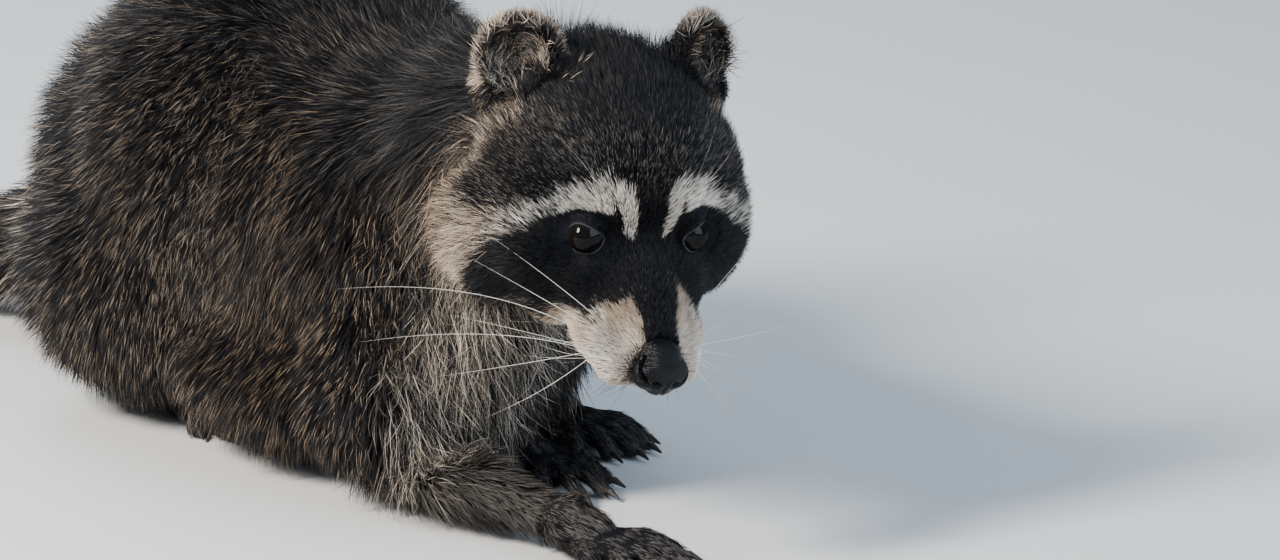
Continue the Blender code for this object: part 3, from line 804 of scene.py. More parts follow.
def paw_forms(name):
    """Palm, knuckles and toes, just inside the solid paw."""
    paw = Forms(paw_place(name))
    height = PAWS[name][0][2]
    if name.startswith("fore"):
        toes, thick = FORE_TOES, 0.43
        paw.limb((0.0, 0.35, height, 1.15), (0.0, -1.2, 1.2, 1.0))
        paw.ball((0.0, -2.0, 0.8), (1.38, 1.6, 0.80))
    else:
        toes, thick = HIND_TOES, 0.47
        paw.limb((0.0, 0.6, height, 1.5), (0.0, 0.5, 1.2, 1.2), (0.0, -3.0, 1.25, 1.1))
        paw.ball((0.0, -4.2, 0.85), (1.55, 2.2, 0.85))
    for fan, length, ahead, aside in toes:
        angle = math.radians(fan)
        out = Vector((math.sin(angle), -math.cos(angle), 0.0))
        root = Vector((aside * 0.92, -ahead + 0.5, 0.95))
        knuckle = root + out * (0.5 + length * 0.38)
        knuckle.z = 1.02
        joint = root + out * (0.5 + length * 0.70)
        joint.z = 0.82
        tip = root + out * (0.5 + length * 0.97)
        tip.z = 0.44
        paw.limb(
            (*root, thick * 0.95),
            (*knuckle, thick),
            (*joint, thick * 0.84),
            (*tip, thick * 0.86),
        )
    return paw.to_mesh("paw_form")


# ---------------------------------------------------------------- the skin

GROUPS = tuple("head jaw ear neck chest loins rump arm forearm thigh shank paw tail".split())
HEAD = ("head", "jaw")
LOWER_LEGS = ("forearm", "shank")
# which group each flesh node belongs to: first the single nodes, then those with a left and a right
GROUP_OF = {"head": "head", "lower_jaw": "jaw"} | {name: name for name in ("neck", "chest", "loins", "rump")}
GROUP_OF |= {"tail_" + part: "tail" for part in ("base", "middle", "tip")}
PAIRED = {
    "ear": "ear",
    "upper_arm": "arm",
    "forearm": "forearm",
    "forepaw": "paw",
    "thigh": "thigh",
    "shank": "shank",
    "hindpaw": "paw",
}
GROUP_OF |= {f"{limb}_{side}": group for side, _ in SIDES for limb, group in PAIRED.items()}

# for each group: depth of the coat, mm, hair's rise at its root and its tip, degrees, width, mm, and
# how far hairs stray from the lie of the coat, degrees
COATS = {
    "head": (5.0, 42.0, 20.0, 0.34, 9.0),
    "jaw": (2.5, 36.0, 16.0, 0.34, 9.0),
    "ear": (1.6, 34.0, 14.0, 0.23, 11.0),
    "neck": (17.0, 50.0, 22.0, 0.34, 20.0),
    "chest": (19.0, 58.0, 34.0, 0.42, 17.0),
    "loins": (19.0, 60.0, 40.0, 0.41, 22.0),
    "rump": (20.0, 58.0, 36.0, 0.43, 22.0),
    "arm": (15.0, 56.0, 32.0, 0.42, 15.0),
    "forearm": (4.4, 34.0, 14.0, 0.36, 9.0),
    "thigh": (17.0, 58.0, 34.0, 0.43, 16.0),
    "shank": (4.5, 30.0, 12.0, 0.42, 8.0),
    "paw": (0.9, 14.0, 3.0, 0.30, 6.0),
    "tail": (15.0, 44.0, 18.0, 0.70, 10.0),
}
CLOSING = 0.0003  # metres that each solid swells, to meet the next across the gap
SHELL_VOXEL = 0.0022
SHELL_PASSES = 8  # of smoothing
SKIN_VOXEL = 0.0016
SKIN_PASSES = 2
# the lie of the coat down the right foreleg, the left foreleg and the hind legs
LEG_WAYS = ((0.13, -0.98, -0.12), (-0.32, -0.92, -0.22), (0.0, -0.85, -0.45))
FLANK_PASSES = 110  # of evening out, on the flanks
# where a hair's mark is read: its height over the root, as a share of the coat's depth, and how far
# along the coat, as a share of the hair's length
MARKED_HEIGHT = 0.8
MARKED_ALONG = 0.5


class NearestGroup:
    """Names the part of the body that lies nearest to a place."""

    def __init__(self):
        places, groups = [], []
        for node, group in GROUP_OF.items():
            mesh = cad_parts[node].data
            corners = points_of(mesh)[triangles_of(mesh)]
            spots = np.concatenate([corners.mean(1), corners.reshape(-1, 3)])
            places.append(spots)
            groups.append(np.full(len(spots), GROUPS.index(group)))
        self.groups = np.concatenate(groups)
        self.tree = tree_of(np.concatenate(places))

    def of(self, points):
        find = self.tree.find
        return self.groups[[find(p)[1] for p in points.tolist()]]


def among(group, *names):
    """Which places belong to the named groups."""
    return np.isin(group, [GROUPS.index(name) for name in names])


def by_group(group, column):
    return np.array([COATS[name][column] for name in GROUPS])[group]


NOSE_AT = (0.0, -5.9, -2.9)  # on the nose pad, in the head's axes: the coat is shortest near it


def head_depth(points):
    """The coat's depth over the head, mm: least on the muzzle and round the eyes, most on the ruff."""
    q = to_head(points)
    x, y, z = folded(q).T
    depth = 2.3 + 4.8 * step(-2.5, 6.5, y)
    ruff = step(3.4, 5.6, x) * step(0.6, -2.4, z) * step(-0.5, 2.5, y)
    depth += 9.0 * ruff + 5.0 * step(4.0, 8.0, y)
    for _, sign in SIDES:
        near = far_from(q, eye_centre(sign) - (0.0, 0.4, 0.0))
        depth *= 0.42 + 0.58 * step(1.1, 2.1, near)
    near_nose = far_from(q, NOSE_AT)
    return depth * (0.35 + 0.65 * step(1.0, 2.0, near_nose))


def coat_depth(points, group):
    return np.where(among(group, *HEAD), head_depth(points), by_group(group, 0))


def gathered(nodes, swell):
    """CAD nodes as one mesh, each swollen a little so that they meet across their gaps."""
    whole = bmesh.new()
    for node in nodes:
        whole.from_mesh(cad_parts[node].data)
    bmesh.ops.remove_doubles(whole, verts=whole.verts, dist=WELD)
    whole.normal_update()
    for vert in whole.verts:
        vert.co += vert.normal * swell
    mesh = bpy.data.meshes.new("gathered")
    whole.to_mesh(mesh)
    whole.free()
    return mesh


def pressed_in(q, centre, radii):
    """Pushes what lies inside an ellipsoid out to its surface. q is in the ellipsoid's axes."""
    centre, radii = np.array(centre), np.array(radii)
    offset = (q - centre) / radii
    far = np.linalg.norm(offset, axis=1, keepdims=True)
    inside = (far < 1.0) & (far > 1e-6)
    pushed = centre + offset / np.maximum(far, 1e-6) * radii
    return np.where(inside, pushed, q)


MOUTH_LINE = ((0.0, -5.6, -4.15), (0.9, -4.9, -4.35), (1.7, -3.2, -4.75), (2.2, -1.2, -4.9))
LIP_DEPTH = 0.16
ROOM_RANGE = (0.5, 1.35)  # least and most depth of the coat, as shares of what COATS says
STYLED = ("rise", "lie", "width", "stray")
STYLE_PASSES = 12
COMB_ROUNDS = 6
BEYOND_LIDS = 1.5  # degrees: how far the socket reaches past the opening
SOCKET = 0.86  # depth of the socket's floor, in eye radii


class Skin:
    """The animal's skin as arrays, with what the coat needs to know at each vertex."""

    def __init__(self):
        nearest = NearestGroup()
        shell = self.outer_shell()
        shell_points, shell_faces = points_of(shell), triangles_of(shell)
        inner = self.set_in(shell, shell_points, nearest)
        self.mesh = self.one_surface(inner)
        self.uncovered = np.zeros(len(self.mesh.vertices), bool)
        self.points = self.sculpted(points_of(self.mesh))
        move_to(self.mesh, self.points)
        self.normals = normals_of(self.mesh)
        self.faces = triangles_of(self.mesh)
        self.edges = edges_of(self.mesh)
        self.group = nearest.of(self.points)
        self.room = self.room_under(shell_points, shell_faces)
        self.rise, self.lie = by_group(self.group, 1), by_group(self.group, 2)
        self.width, self.stray = by_group(self.group, 3) * MM, by_group(self.group, 4)
        self.style()
        for name in STYLED:
            setattr(self, name, spread(getattr(self, name), self.edges, STYLE_PASSES))
        self.flow = self.combed()
        length = self.room / np.sin(np.radians((self.rise + self.lie) / 2))
        self.marked = self.points + self.normals * (self.room * MARKED_HEIGHT)[:, None]
        self.marked += self.flow * (length * MARKED_ALONG)[:, None]

    def outer_shell(self):
        """The tips of the coat: the flesh nodes melted together."""
        flesh = [n for n, g in GROUP_OF.items() if g not in ("ear", "paw")]
        return remeshed(new_object("flesh", gathered(flesh, CLOSING)), SHELL_VOXEL, SHELL_PASSES)

    def set_in(self, shell, points, nearest):
        """The shell moved inwards by the coat's depth, with the flanks evened out."""
        edges = edges_of(shell)
        depth = spread(coat_depth(points, nearest.of(points)), edges, 10)
        normals = unit(spread(normals_of(shell), edges, 4))
        moved = points - normals * depth[:, None] * MM
        x, y, z = to_pose(points).T
        flank = step(-12.5, -9.0, y) * step(7.0, 3.5, y) * step(3.5, 5.5, np.abs(x))
        flank *= step(14.0, 10.0, z) * step(0.8, 2.2, z)
        moved += (spread(moved, edges, FLANK_PASSES) - moved) * flank[:, None]
        move_to(shell, moved)
        return shell

    def one_surface(self, inner):
        """The trunk and head melted together with ears, lids and paws."""
        whole = bmesh.new()
        whole.from_mesh(inner)
        for _, sign in SIDES:
            whole.from_mesh(ear_forms(sign))
            whole.from_mesh(lid_forms(sign))
        for name in PAWS:
            whole.from_mesh(paw_forms(name))
        mesh = bpy.data.meshes.new("skin_forms")
        whole.to_mesh(mesh)
        whole.free()
        return remeshed(new_object("skin_forms", mesh), SKIN_VOXEL, SKIN_PASSES)

    def sculpted(self, points):
        """Ear hollows, eye sockets, the mouth's line and the soles."""
        for _, sign in SIDES:
            place = np.array(ear_place(sign))
            q = pressed_in(to_ear(points, sign), *EAR_HOLLOW)
            points = q @ place[:3, :3].T + place[:3, 3]
        place = np.array(HEAD_PLACE)
        q = to_head(points)
        for _, sign in SIDES:
            inside, offset = in_opening(q, sign, BEYOND_LIDS)
            sunk = eye_centre(sign) + unit(offset) * (EYE_RADIUS / CM * SOCKET)
            q = np.where(inside[:, None], sunk, q)
            self.uncovered |= inside
        q = self.mouth_line(q)
        points = q @ place[:3, :3].T + place[:3, 3]
        points[:, 2] = np.maximum(points[:, 2], 0.0)
        return points

    def mouth_line(self, q):
        """A shallow groove along the lips, from under the nose back to the corner of the mouth."""
        depth = LIP_DEPTH * (1.0 - step(0.05, 0.28, along_line(folded(q), MOUTH_LINE)[0]))
        towards = unit(np.column_stack([q[:, 0], q[:, 1] + 1.0, q[:, 2] + 3.2]))
        return q - towards * depth[:, None]

    def room_under(self, shell_points, shell_faces):
        """How far the tips of the coat are from the skin."""
        tree = BVHTree.FromPolygons(shell_points.tolist(), shell_faces.tolist())
        found = [tree.find_nearest(p)[3] for p in self.points.tolist()]
        room = np.array([0.0 if d is None else d for d in found])
        nominal = coat_depth(self.points, self.group) * MM
        fixed = self.is_in("ear", "paw")[:, 0]
        room = np.where(fixed, nominal, np.clip(room, nominal * ROOM_RANGE[0], nominal * ROOM_RANGE[1]))
        return spread(room, self.edges, 6)

    def more(self, where, room=0.0, rise=0.0, lie=0.0, stray=0.0):
        """Adds to the coat's depth, mm, and to its angles, degrees, on part of the skin."""
        self.room += room * where * MM
        self.rise += rise * where
        self.lie += lie * where
        self.stray += stray * where

    def finer(self, where, width):
        """Brings hairs on part of the skin to another width, mm."""
        self.width += (width * MM - self.width) * where

    def style(self):
        """Where the coat stands, hangs or curls more than elsewhere on its part of the body."""
        p, q = to_pose(self.points), to_head(self.points)
        x, y, z = folded(q).T
        head = self.is_in(*HEAD)[:, 0]
        ruff = head * step(3.0, 5.4, x) * step(0.8, -2.2, z) * step(-1.0, 2.0, y)
        self.more(ruff, rise=8.0, lie=6.0, stray=12.0)
        crest = head * step(3.0, 7.5, y) * step(1.0, 3.0, z)
        self.more(crest, rise=20.0, lie=16.0, stray=5.0)
        flare = head * step(3.2, 4.8, x) * step(-2.5, -0.5, z) * step(0.0, 2.0, y)
        self.more(flare, rise=8.0, lie=16.0, stray=3.0)
        edge = head * step(4.2, 5.4, x) * step(-3.0, -1.0, z) * step(3.2, 1.6, z) * step(6.0, 4.0, y)
        self.more(edge, room=3.2, rise=9.0, stray=8.0)
        temple = head * step(3.6, 5.0, x) * step(2.6, 4.4, y) * step(-0.8, 0.8, z)
        self.more(temple, room=4.5, rise=8.0)
        pad = head * (1.0 - step(0.7, 1.9, far_from(folded(q), (2.3, -2.5, -3.3))))
        self.more(pad, room=1.6, lie=12.0)
        self.room *= 1.0 + 0.9 * crest
        x, y, z = p.T
        hanging = self.is_in("neck", "chest", "arm")[:, 0] * step(-10.5, -14.0, y)
        self.more(hanging, rise=-10.0, lie=-15.0, stray=10.0)
        self.finer(hanging, 0.27)
        elbow = self.is_in("forearm")[:, 0] * elbow_share(p)
        self.more(elbow, room=4.5, rise=4.0, stray=7.0)
        self.finer(elbow, 0.29)
        far_leg = self.is_in("arm", "forearm")[:, 0] * (x > -2.6) * step(-6.0, -8.0, y) * step(9.0, 6.0, z)
        for name, share in (("room", 0.5), ("rise", 0.45), ("lie", 0.5), ("stray", 0.5)):
            setattr(self, name, getattr(self, name) * (1.0 - share * far_leg))
        tousled = np.exp(-(((y - 3.0) / 6.5) ** 2) - ((z - 14.0) / 5.5) ** 2)
        self.more(self.is_in("loins", "rump", "chest")[:, 0] * tousled, stray=24.0)
        for _, sign in SIDES:
            e = to_ear(self.points, sign)
            here = self.is_in("ear")[:, 0] & (q[:, 0] * sign > 0)
            reach = ear_reach(e)
            hollow = here * (reach < 0.85) * (e[:, 1] < 0.1)
            self.more(hollow, room=4.4, rise=8.0, lie=2.0, stray=55.0)
            rim = here * step(0.84, 0.94, reach) * (e[:, 1] < 0.7)
            self.more(rim, room=1.4, rise=6.0, lie=4.0, stray=10.0)

    def combed(self):
        """The lie of the coat: a direction in the skin at each vertex."""
        p, q = to_pose(self.points), to_head(self.points)
        _, y, z = p.T
        level = self.normals[:, 2]
        leanings = (
            (step(4.0, 13.0, y), (0.0, 0.65, 0.2)),  # rump
            (step(-9.0, -15.0, y) * step(15.0, 9.0, z), (0.0, -0.35, 0.0)),  # breast
            (step(-6.0, -12.0, y) * step(11.0, 15.0, z), (0.0, -0.25, 0.0)),  # nape
            (step(0.60, 0.92, level) * step(9.0, 14.0, z), (0.0, 1.7, 0.8)),  # along the back
            (step(0.8, 0.4, level) * step(9.0, 3.0, y) * step(-13.0, -9.0, y), (0.0, -0.34, 0.0)),  # flanks
        )
        flow = np.tile((0.0, 0.14, -1.0), (len(p), 1))
        for where, way in leanings:
            flow += where[:, None] * np.array(way)
        flow = unit(flow)
        flow = np.where(self.is_in("tail"), along_line(p, TAIL_LINE)[2], flow)
        flow = np.where(self.is_in(*LOWER_LEGS, "paw"), self.down_the_legs(p), flow)
        flow = np.where(self.is_in(*HEAD), self.over_the_head(q), flow)
        ear = self.is_in("ear")
        for _, sign in SIDES:
            here = ear & (q[:, 0] * sign > 0)[:, None]
            flow = np.where(here, self.round_the_ear(sign), flow)
        flow = flattened(flow, self.normals)
        trunk = ~self.is_in(*HEAD, "ear", "paw")
        for _ in range(COMB_ROUNDS):
            near = flattened(spread(flow, self.edges, 3), self.normals)
            far = flattened(spread(near, self.edges, 12), self.normals)
            flow = np.where(ear, flow, np.where(trunk, far, near))
        return flow

    def round_the_ear(self, sign):
        """Outwards round the rim, up the back, and across the hollow from below."""
        e = to_ear(self.points, sign)
        turn = np.array(ear_place(sign))[:3, :3]
        outwards = e / EAR_HALF * (1.0, 0.0, 1.0)
        rim = step(0.84, 0.94, ear_reach(e))[:, None]
        rim_way = unit(outwards + np.array((0.0, -0.15, 0.25)))
        hollow_way = unit(outwards * 0.3 + np.array((0.55 * sign, 0.0, 0.8)))
        way = np.where(step(0.5, 0.0, e[:, 1:2]) > 0.5, hollow_way, (0.0, 0.0, 1.0))
        return unit((way * (1 - rim) + rim_way * rim) @ turn.T)

    def is_in(self, *names):
        """Which vertices belong to the named groups, as a column."""
        return among(self.group, *names)[:, None]

    def over_the_head(self, q):
        """Away from the nose, and hanging more towards the ruff."""
        away = unit(q - np.array((0.0, -7.0, -2.3)))
        side, _, z = folded(q).T
        hang = step(2.5, 5.5, side) * step(0.5, -3.0, z)
        away[:, 2] -= 0.85 * hang
        away[:, 0] += 0.25 * np.sign(q[:, 0]) * step(1.0, 3.0, side) * step(-1.0, 1.5, z)
        up = np.array(Matrix.Rotation(math.radians(EAR_LEAN), 3, "X") @ Vector((0.0, 0.0, 1.0)))
        for _, sign in SIDES:
            root = (EAR_AT[0] * sign, EAR_AT[1] - 0.3, EAR_AT[2] - 1.9)
            near = 0.75 * (1.0 - step(1.2, 3.0, far_from(q, root)))[:, None]
            away = unit(away) * (1.0 - near) + up * near
        return turned_by_head(unit(away))

    def down_the_legs(self, p):
        """Along each leg towards its paw."""
        x, y, _ = np.hsplit(p, 3)
        right_arm, left_arm, hind = unit(np.array(LEG_WAYS))
        left_fore = (x > -2.4) & (y < -6.0) & (x < 5.0)
        return np.where(left_fore, left_arm, np.where(y < -9.0, right_arm, hind))


BUILT = {}


def once(name, make):
    """What make gives, kept for the next call."""
    if name not in BUILT:
        BUILT[name] = make()
    return BUILT[name]


def skin():
    return once("skin", Skin)


def finished(obj, slot_name, made, *nodes):
    """Gives a piece its material and body, and hides the nodes that it stands for. slot_name is not used."""
    obj.data.materials.clear()
    obj.data.materials.append(made)
    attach(obj, "root")
    if nodes:
        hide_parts(*nodes)
    return obj


# ---------------------------------------------------------------- the coat

# name, tufts, joints in a tuft, tufts to a lock, how far a lock draws its tufts together
ZONES = (
    ("coat_face", 62000, 2, 4, 0.25),
    ("coat_crown", 45000, 2, 5, 0.30),
    ("coat_cheeks", 37000, 3, 7, 0.35),
    ("coat_ears", 28000, 3, 4, 0.22),
    ("coat_neck", 30000, 2, 7, 0.30),
    ("coat_flank_right", 65000, 2, 5, 0.35),
    ("coat_flank_left", 34000, 2, 6, 0.35),
    ("coat_rump", 38000, 2, 6, 0.40),
    ("coat_tail", 18000, 3, 8, 0.40),
    ("coat_legs", 33000, 2, 5, 0.35),
    ("coat_throat", 25000, 4, 5, 0.22),
)


def zone_of(points, group):
    """Which coat piece grows at each place, as its number in ZONES. Later regions win."""
    side, forward, up = folded(to_head(points)).T
    x, y, z = to_pose(points).T
    front, head = among(group, "neck", "chest", "arm"), among(group, *HEAD)
    regions = (
        ("flank_left", x > 0.0),
        ("rump", y > 7.5),
        ("neck", front & (y < -7.0)),
        ("throat", front & (y < -10.5) & (z < 14.5)),
        ("tail", among(group, "tail")),
        ("legs", among(group, *LOWER_LEGS, "paw")),
        ("cheeks", head),
        ("crown", head & (up > 0.0)),
        ("face", head & (forward + 0.22 * side < 1.6)),
        ("ears", among(group, "ear")),
    )
    numbers = {name: number for number, (name, *_) in enumerate(ZONES)}
    zone = np.full(len(points), numbers["coat_flank_right"])
    for name, here in regions:
        zone[here] = numbers["coat_" + name]
    return zone


COAT_SEED = 100
FEWEST_LOCKS = 8
UNDER_SHARE = 0.28  # of the tufts are an undercoat, shorter and without bands
UNDER_WIDTH = 1.5  # of an undercoat tuft, as a share of the others' width
ROOT_DEPTH = 0.0004  # metres that a tuft starts below the skin
OFF_FLOOR = 0.0004  # metres that the coat keeps above the floor
HAIR_DROOP = 0.14  # how much hairs sink under their weight
HAIR_ROLL = 24.0  # degrees that a tuft turns about its own line
LEAST_RISE = 0.08  # sine of the flattest angle that a tuft's length is worked out from
STRAIGHT_AT = 0.3  # share of a tuft at which its sideways bend changes side
CURLS = {2: 1.2, 3: 1.2, 4: 2.0}  # sideways bend of tufts of two, three and four joints
DRAW_POWER = 1.4  # how late along a tuft its lock draws it in
# least and greatest random length, angle and width, as shares of what the skin says
LOCK_REACH, LOCK_LIFT = (0.80, 1.12), (0.75, 1.2)
UNDER_REACH, TOP_REACH = (0.45, 0.8), (0.85, 1.22)
LIFT, WIDTH, PLAIN = (0.8, 1.15), (0.75, 1.3), (0.6, 1.4)
# how much chance moves a tuft's pale and dark marks, and between which shares a tuft turns from none to all
PALE_TOSS, PALE_TURN = 0.975, (0.30, 0.70)
DARK_TOSS, DARK_TURN = 0.96, (0.25, 0.75)
LOCK_TONE = 0.28  # how much of a tuft's own tone it shares with its lock
UNDER_CHANCE = 0.80  # least chance of an undercoat tuft, which leaves it without a band
PATCH = 0.003  # width of a tuft's patch in the unwrap
MARGIN = 0.03  # round each side's share of the unwrap
# width of a tuft at each of its joints, for tufts of two, three and four joints
TAPERS = {2: (0.95, 0.85), 3: (0.8, 1.0, 0.66), 4: (0.7, 1.0, 0.85, 0.55)}


class Coat:
    """Grows one piece of the coat on some of the skin's triangles."""

    def __init__(self, number, plenty):
        self.name, tufts, self.joints, self.to_lock, self.draw = ZONES[number]
        self.count = int(tufts * plenty)
        self.locks = max(FEWEST_LOCKS, self.count // self.to_lock)
        self.rng = np.random.default_rng(COAT_SEED + number)
        body = skin()
        centres = body.points[body.faces].mean(1)
        groups = body.group[body.faces[:, 0]]
        chosen = zone_of(centres, groups) == number
        self.faces = body.faces[chosen]
        corners = body.points[self.faces]
        a, b, c = corners.swapaxes(0, 1)
        area = np.linalg.norm(np.cross(b - a, c - a), axis=1)
        weight = area * self.plenty_at(centres[chosen])
        weight *= ~body.uncovered[self.faces].any(1)
        self.odds = weight / weight.sum()

    def plenty_at(self, points):
        """More tufts where hairs are short and fine, fewer where nothing shows."""
        q = to_head(points)
        near = np.ones(len(points))
        if self.name == "coat_face":
            near += 1.2 * step(1.0, -3.0, q[:, 1])
            near += 1.6 * (1.0 - step(1.2, 1.9, far_from(folded(q), EYE_IN_HEAD)))
        if self.name == "coat_ears":
            for _, sign in SIDES:
                e = to_ear(points, sign)
                near -= 0.55 * (ear_reach(e) < 0.82) * (e[:, 1] < 0.1) * (q[:, 0] * sign > 0)
        under = step(3.0, 1.0, to_pose(points)[:, 2])
        return near * (1.0 - 0.5 * under) if self.name != "coat_legs" else near

    def rooted(self, count):
        """Roots with all that the skin knows there."""
        body, rng = skin(), self.rng
        face = self.faces[rng.choice(len(self.faces), count, p=self.odds)]
        a, b = rng.random(count), rng.random(count)
        flip = a + b > 1.0
        a, b = np.where(flip, 1 - a, a), np.where(flip, 1 - b, b)
        share = np.column_stack([1 - a - b, a, b])[:, :, None]

        def blend(values):
            return (values[face].reshape(count, 3, -1) * share).sum(1)

        normal = unit(blend(body.normals))
        roots = {name: blend(getattr(body, name))[:, 0] for name in ("room", *STYLED)}
        roots |= {"at": blend(body.points), "normal": normal, "flow": flattened(blend(body.flow), normal)}
        return roots | {"marked": blend(body.marked), "group": body.group[face[:, 0]]}

    def paths(self, roots, reach, lift):
        """The line that each hair follows, as joints + 1 places."""
        rng, count = self.rng, len(roots["at"])
        turn = np.radians(rng.normal(0.0, 1.0, count) * roots["stray"])
        across = np.cross(roots["normal"], roots["flow"])
        lay = roots["flow"] * np.cos(turn)[:, None] + across * np.sin(turn)[:, None]
        rise = np.radians(roots["rise"] * lift)
        lie = np.radians(roots["lie"] * lift)
        mean = np.maximum(np.sin((rise + lie) / 2), LEAST_RISE)
        length = roots["room"] / mean * reach * bpy.context.scene.raccoon_coat.length
        places = [roots["at"] - roots["normal"] * ROOT_DEPTH]
        bend = np.radians(rng.normal(0.0, 1.0, count) * roots["stray"] * CURLS[self.joints])
        for joint in range(self.joints):
            share = (joint + 0.5) / self.joints
            angle = rise * (1 - share) + lie * share
            veer = bend * (share - STRAIGHT_AT)
            ahead = lay * np.cos(veer)[:, None] + np.cross(roots["normal"], lay) * np.sin(veer)[:, None]
            way = ahead * np.cos(angle)[:, None] + roots["normal"] * np.sin(angle)[:, None]
            way[:, 2] -= HAIR_DROOP * share
            places.append(places[-1] + unit(way) * (length / self.joints)[:, None])
        return np.stack(places)

    def grow(self):
        """The piece's points, triangles and values."""
        rng, count, joints = self.rng, self.count, self.joints
        locks = self.rooted(self.locks)
        lock_reach = rng.uniform(*LOCK_REACH, self.locks)
        lock_paths = self.paths(locks, lock_reach, rng.uniform(*LOCK_LIFT, self.locks))
        tree = tree_of(locks["at"])
        roots = self.rooted(count)
        lock = np.array([tree.find(p)[1] for p in roots["at"].tolist()])
        under = rng.random(count) < UNDER_SHARE
        reach = np.where(under, rng.uniform(*UNDER_REACH, count), rng.uniform(*TOP_REACH, count))
        lift = rng.uniform(*LIFT, count)
        paths = self.paths(roots, reach * (0.5 + 0.5 * lock_reach[lock]), lift)
        share = (np.arange(joints + 1) / joints)[:, None, None]
        pull = self.draw * share**DRAW_POWER
        paths = paths * (1 - pull) + lock_paths[:, lock] * pull
        paths[..., 2] = np.maximum(paths[..., 2], OFF_FLOOR)
        points, faces = self.ribbons(paths, roots, under)
        mesh = mesh_of(self.name, points, faces)
        self.paint(mesh, roots, lock, under)
        self.unwrap(mesh, roots, faces)
        return mesh

    def ribbons(self, paths, roots, under):
        """Each hair as a thin leaf that narrows to its tip, rolled a little about its own line."""
        joints, count = self.joints, self.count
        width = roots["width"] * bpy.context.scene.raccoon_coat.width
        width = width * self.rng.uniform(*WIDTH, count) * np.where(under, UNDER_WIDTH, 1.0)
        roll = np.radians(self.rng.normal(0.0, HAIR_ROLL, count))
        rows = []
        for start, end, taper in zip(paths, paths[1:], TAPERS[joints]):
            ahead = unit(end - start)
            side = unit(np.cross(ahead, roots["normal"]))
            face = np.cross(side, ahead)
            side = side * np.cos(roll)[:, None] + face * np.sin(roll)[:, None]
            half = side * (width * taper / 2)[:, None]
            rows += [start - half, start + half]
        rows.append(paths[joints])
        points = np.stack(rows, axis=1).reshape(-1, 3)
        tip = 2 * joints
        pattern = []
        for left in range(0, tip - 2, 2):
            pattern += [(left, left + 1, left + 3), (left, left + 3, left + 2)]
        pattern.append((tip - 2, tip - 1, tip))
        faces = np.array(pattern)[None] + (np.arange(count) * (tip + 1))[:, None, None]
        return points, faces.reshape(-1, 3)

    def shares_along(self):
        """How far up its tuft each of a tuft's points is, from 0 to 1."""
        return np.append(np.repeat(np.arange(self.joints) / self.joints, 2), 1.0)

    def paint(self, mesh, roots, lock, under):
        """A tuft's marks are read half way along it, and it is mostly all of one mark."""
        rng, count = self.rng, self.count
        place, group = roots["marked"], roots["group"]
        pale, dark, warm, _ = marks(place, group)
        toss = rng.random(count) - 0.5
        lock_tone = rng.random(self.locks)[lock]
        pale = step(*PALE_TURN, pale + toss * PALE_TOSS * (1.0 - np.abs(2 * pale - 1.0)))
        dark = step(*DARK_TURN, dark - toss * DARK_TOSS * (1.0 - np.abs(2 * dark - 1.0)))
        chance = rng.random(count) * (1.0 - LOCK_TONE) + lock_tone * LOCK_TONE
        chance = np.where(under, UNDER_CHANCE + (1.0 - UNDER_CHANCE) * chance, chance)
        plain = plain_and_painted_light_marks(place, group) * rng.uniform(*PLAIN, count)
        named = {"pale": pale, "dark": dark, "warm": warm, "chance": chance, "plain": plain}
        named["grizzle"] = grizzled(place, group)
        along = self.shares_along()
        set_values(mesh, "along", np.tile(along, count))
        for name, values in named.items():
            set_values(mesh, name, np.repeat(values, len(along)))

    def unwrap(self, mesh, roots, faces):
        """Each tuft has a small patch at its root's place on an unwrap of the skin from six sides."""
        normal, at = roots["normal"], roots["at"]
        axis = np.argmax(np.abs(normal), axis=1)
        positive = np.take_along_axis(normal, axis[:, None], 1)[:, 0] > 0
        low, high = at.min(0), at.max(0)
        x, y, z = ((at - low) / (high - low).max()).T
        room = 1.0 - 2.0 * MARGIN
        u = (axis + MARGIN + room * np.where(axis == 0, y, x)) / 3.0
        v = (positive + MARGIN + room * np.where(axis == 2, y, z)) / 2.0
        along = self.shares_along()
        across = np.array([-0.5, 0.5] * self.joints + [0.0])
        uv = np.stack([u[:, None] + across * PATCH, v[:, None] + (along - 0.5) * PATCH], axis=-1)
        layer = mesh.uv_layers.new(name="OFBake")
        layer.data.foreach_set("uv", uv.reshape(-1, 2)[faces.ravel()].astype(np.float32).ravel())


def grow_zone(number, plenty):
    name = ZONES[number][0]
    obj = new_object(name, Coat(number, plenty).grow())
    return finished(obj, "coat", once("coat", coat_material))


# ---------------------------------------------------------------- eyes

EYE_GRID = (40, 56)  # rings and spokes
CORNEA_BULGE = 0.045  # in eye radii
CORNEA_REACH = math.radians(42.0)  # from the gaze to the cornea's edge
POLAR_REACH = math.radians(60.0)  # where the eyeball's colours end
NEAR_EYE = 1.6  # eye radii: farther places are never between the lids


def gaze_in_head(sign):
    """The eyes look outwards and a little up from the line of the snout."""
    return np.array(Vector((0.59 * sign, -0.77, 0.21)).normalized())


def gaze_axes(sign):
    """The ways to the outer corner, upwards and along the gaze, in the head's axes."""
    gaze = gaze_in_head(sign)
    out = unit(np.cross((0.0, -0.1, 1.0), gaze)) * sign
    return out, np.cross(gaze, out) * sign, gaze


def in_opening(q, sign, beyond):
    """Which places are between the lids or a few degrees beyond, and all places from the eye's centre."""
    offset = q - eye_centre(sign)
    out, up, gaze = gaze_axes(sign)
    far = np.linalg.norm(offset, axis=1)
    around = np.arctan2(offset @ up, offset @ out)
    angle = np.degrees(np.arccos(np.clip(offset @ gaze / np.maximum(far, 1e-6), -1.0, 1.0)))
    near = far < NEAR_EYE * EYE_RADIUS / CM
    return near & (angle < lid_opening(around) + beyond), offset


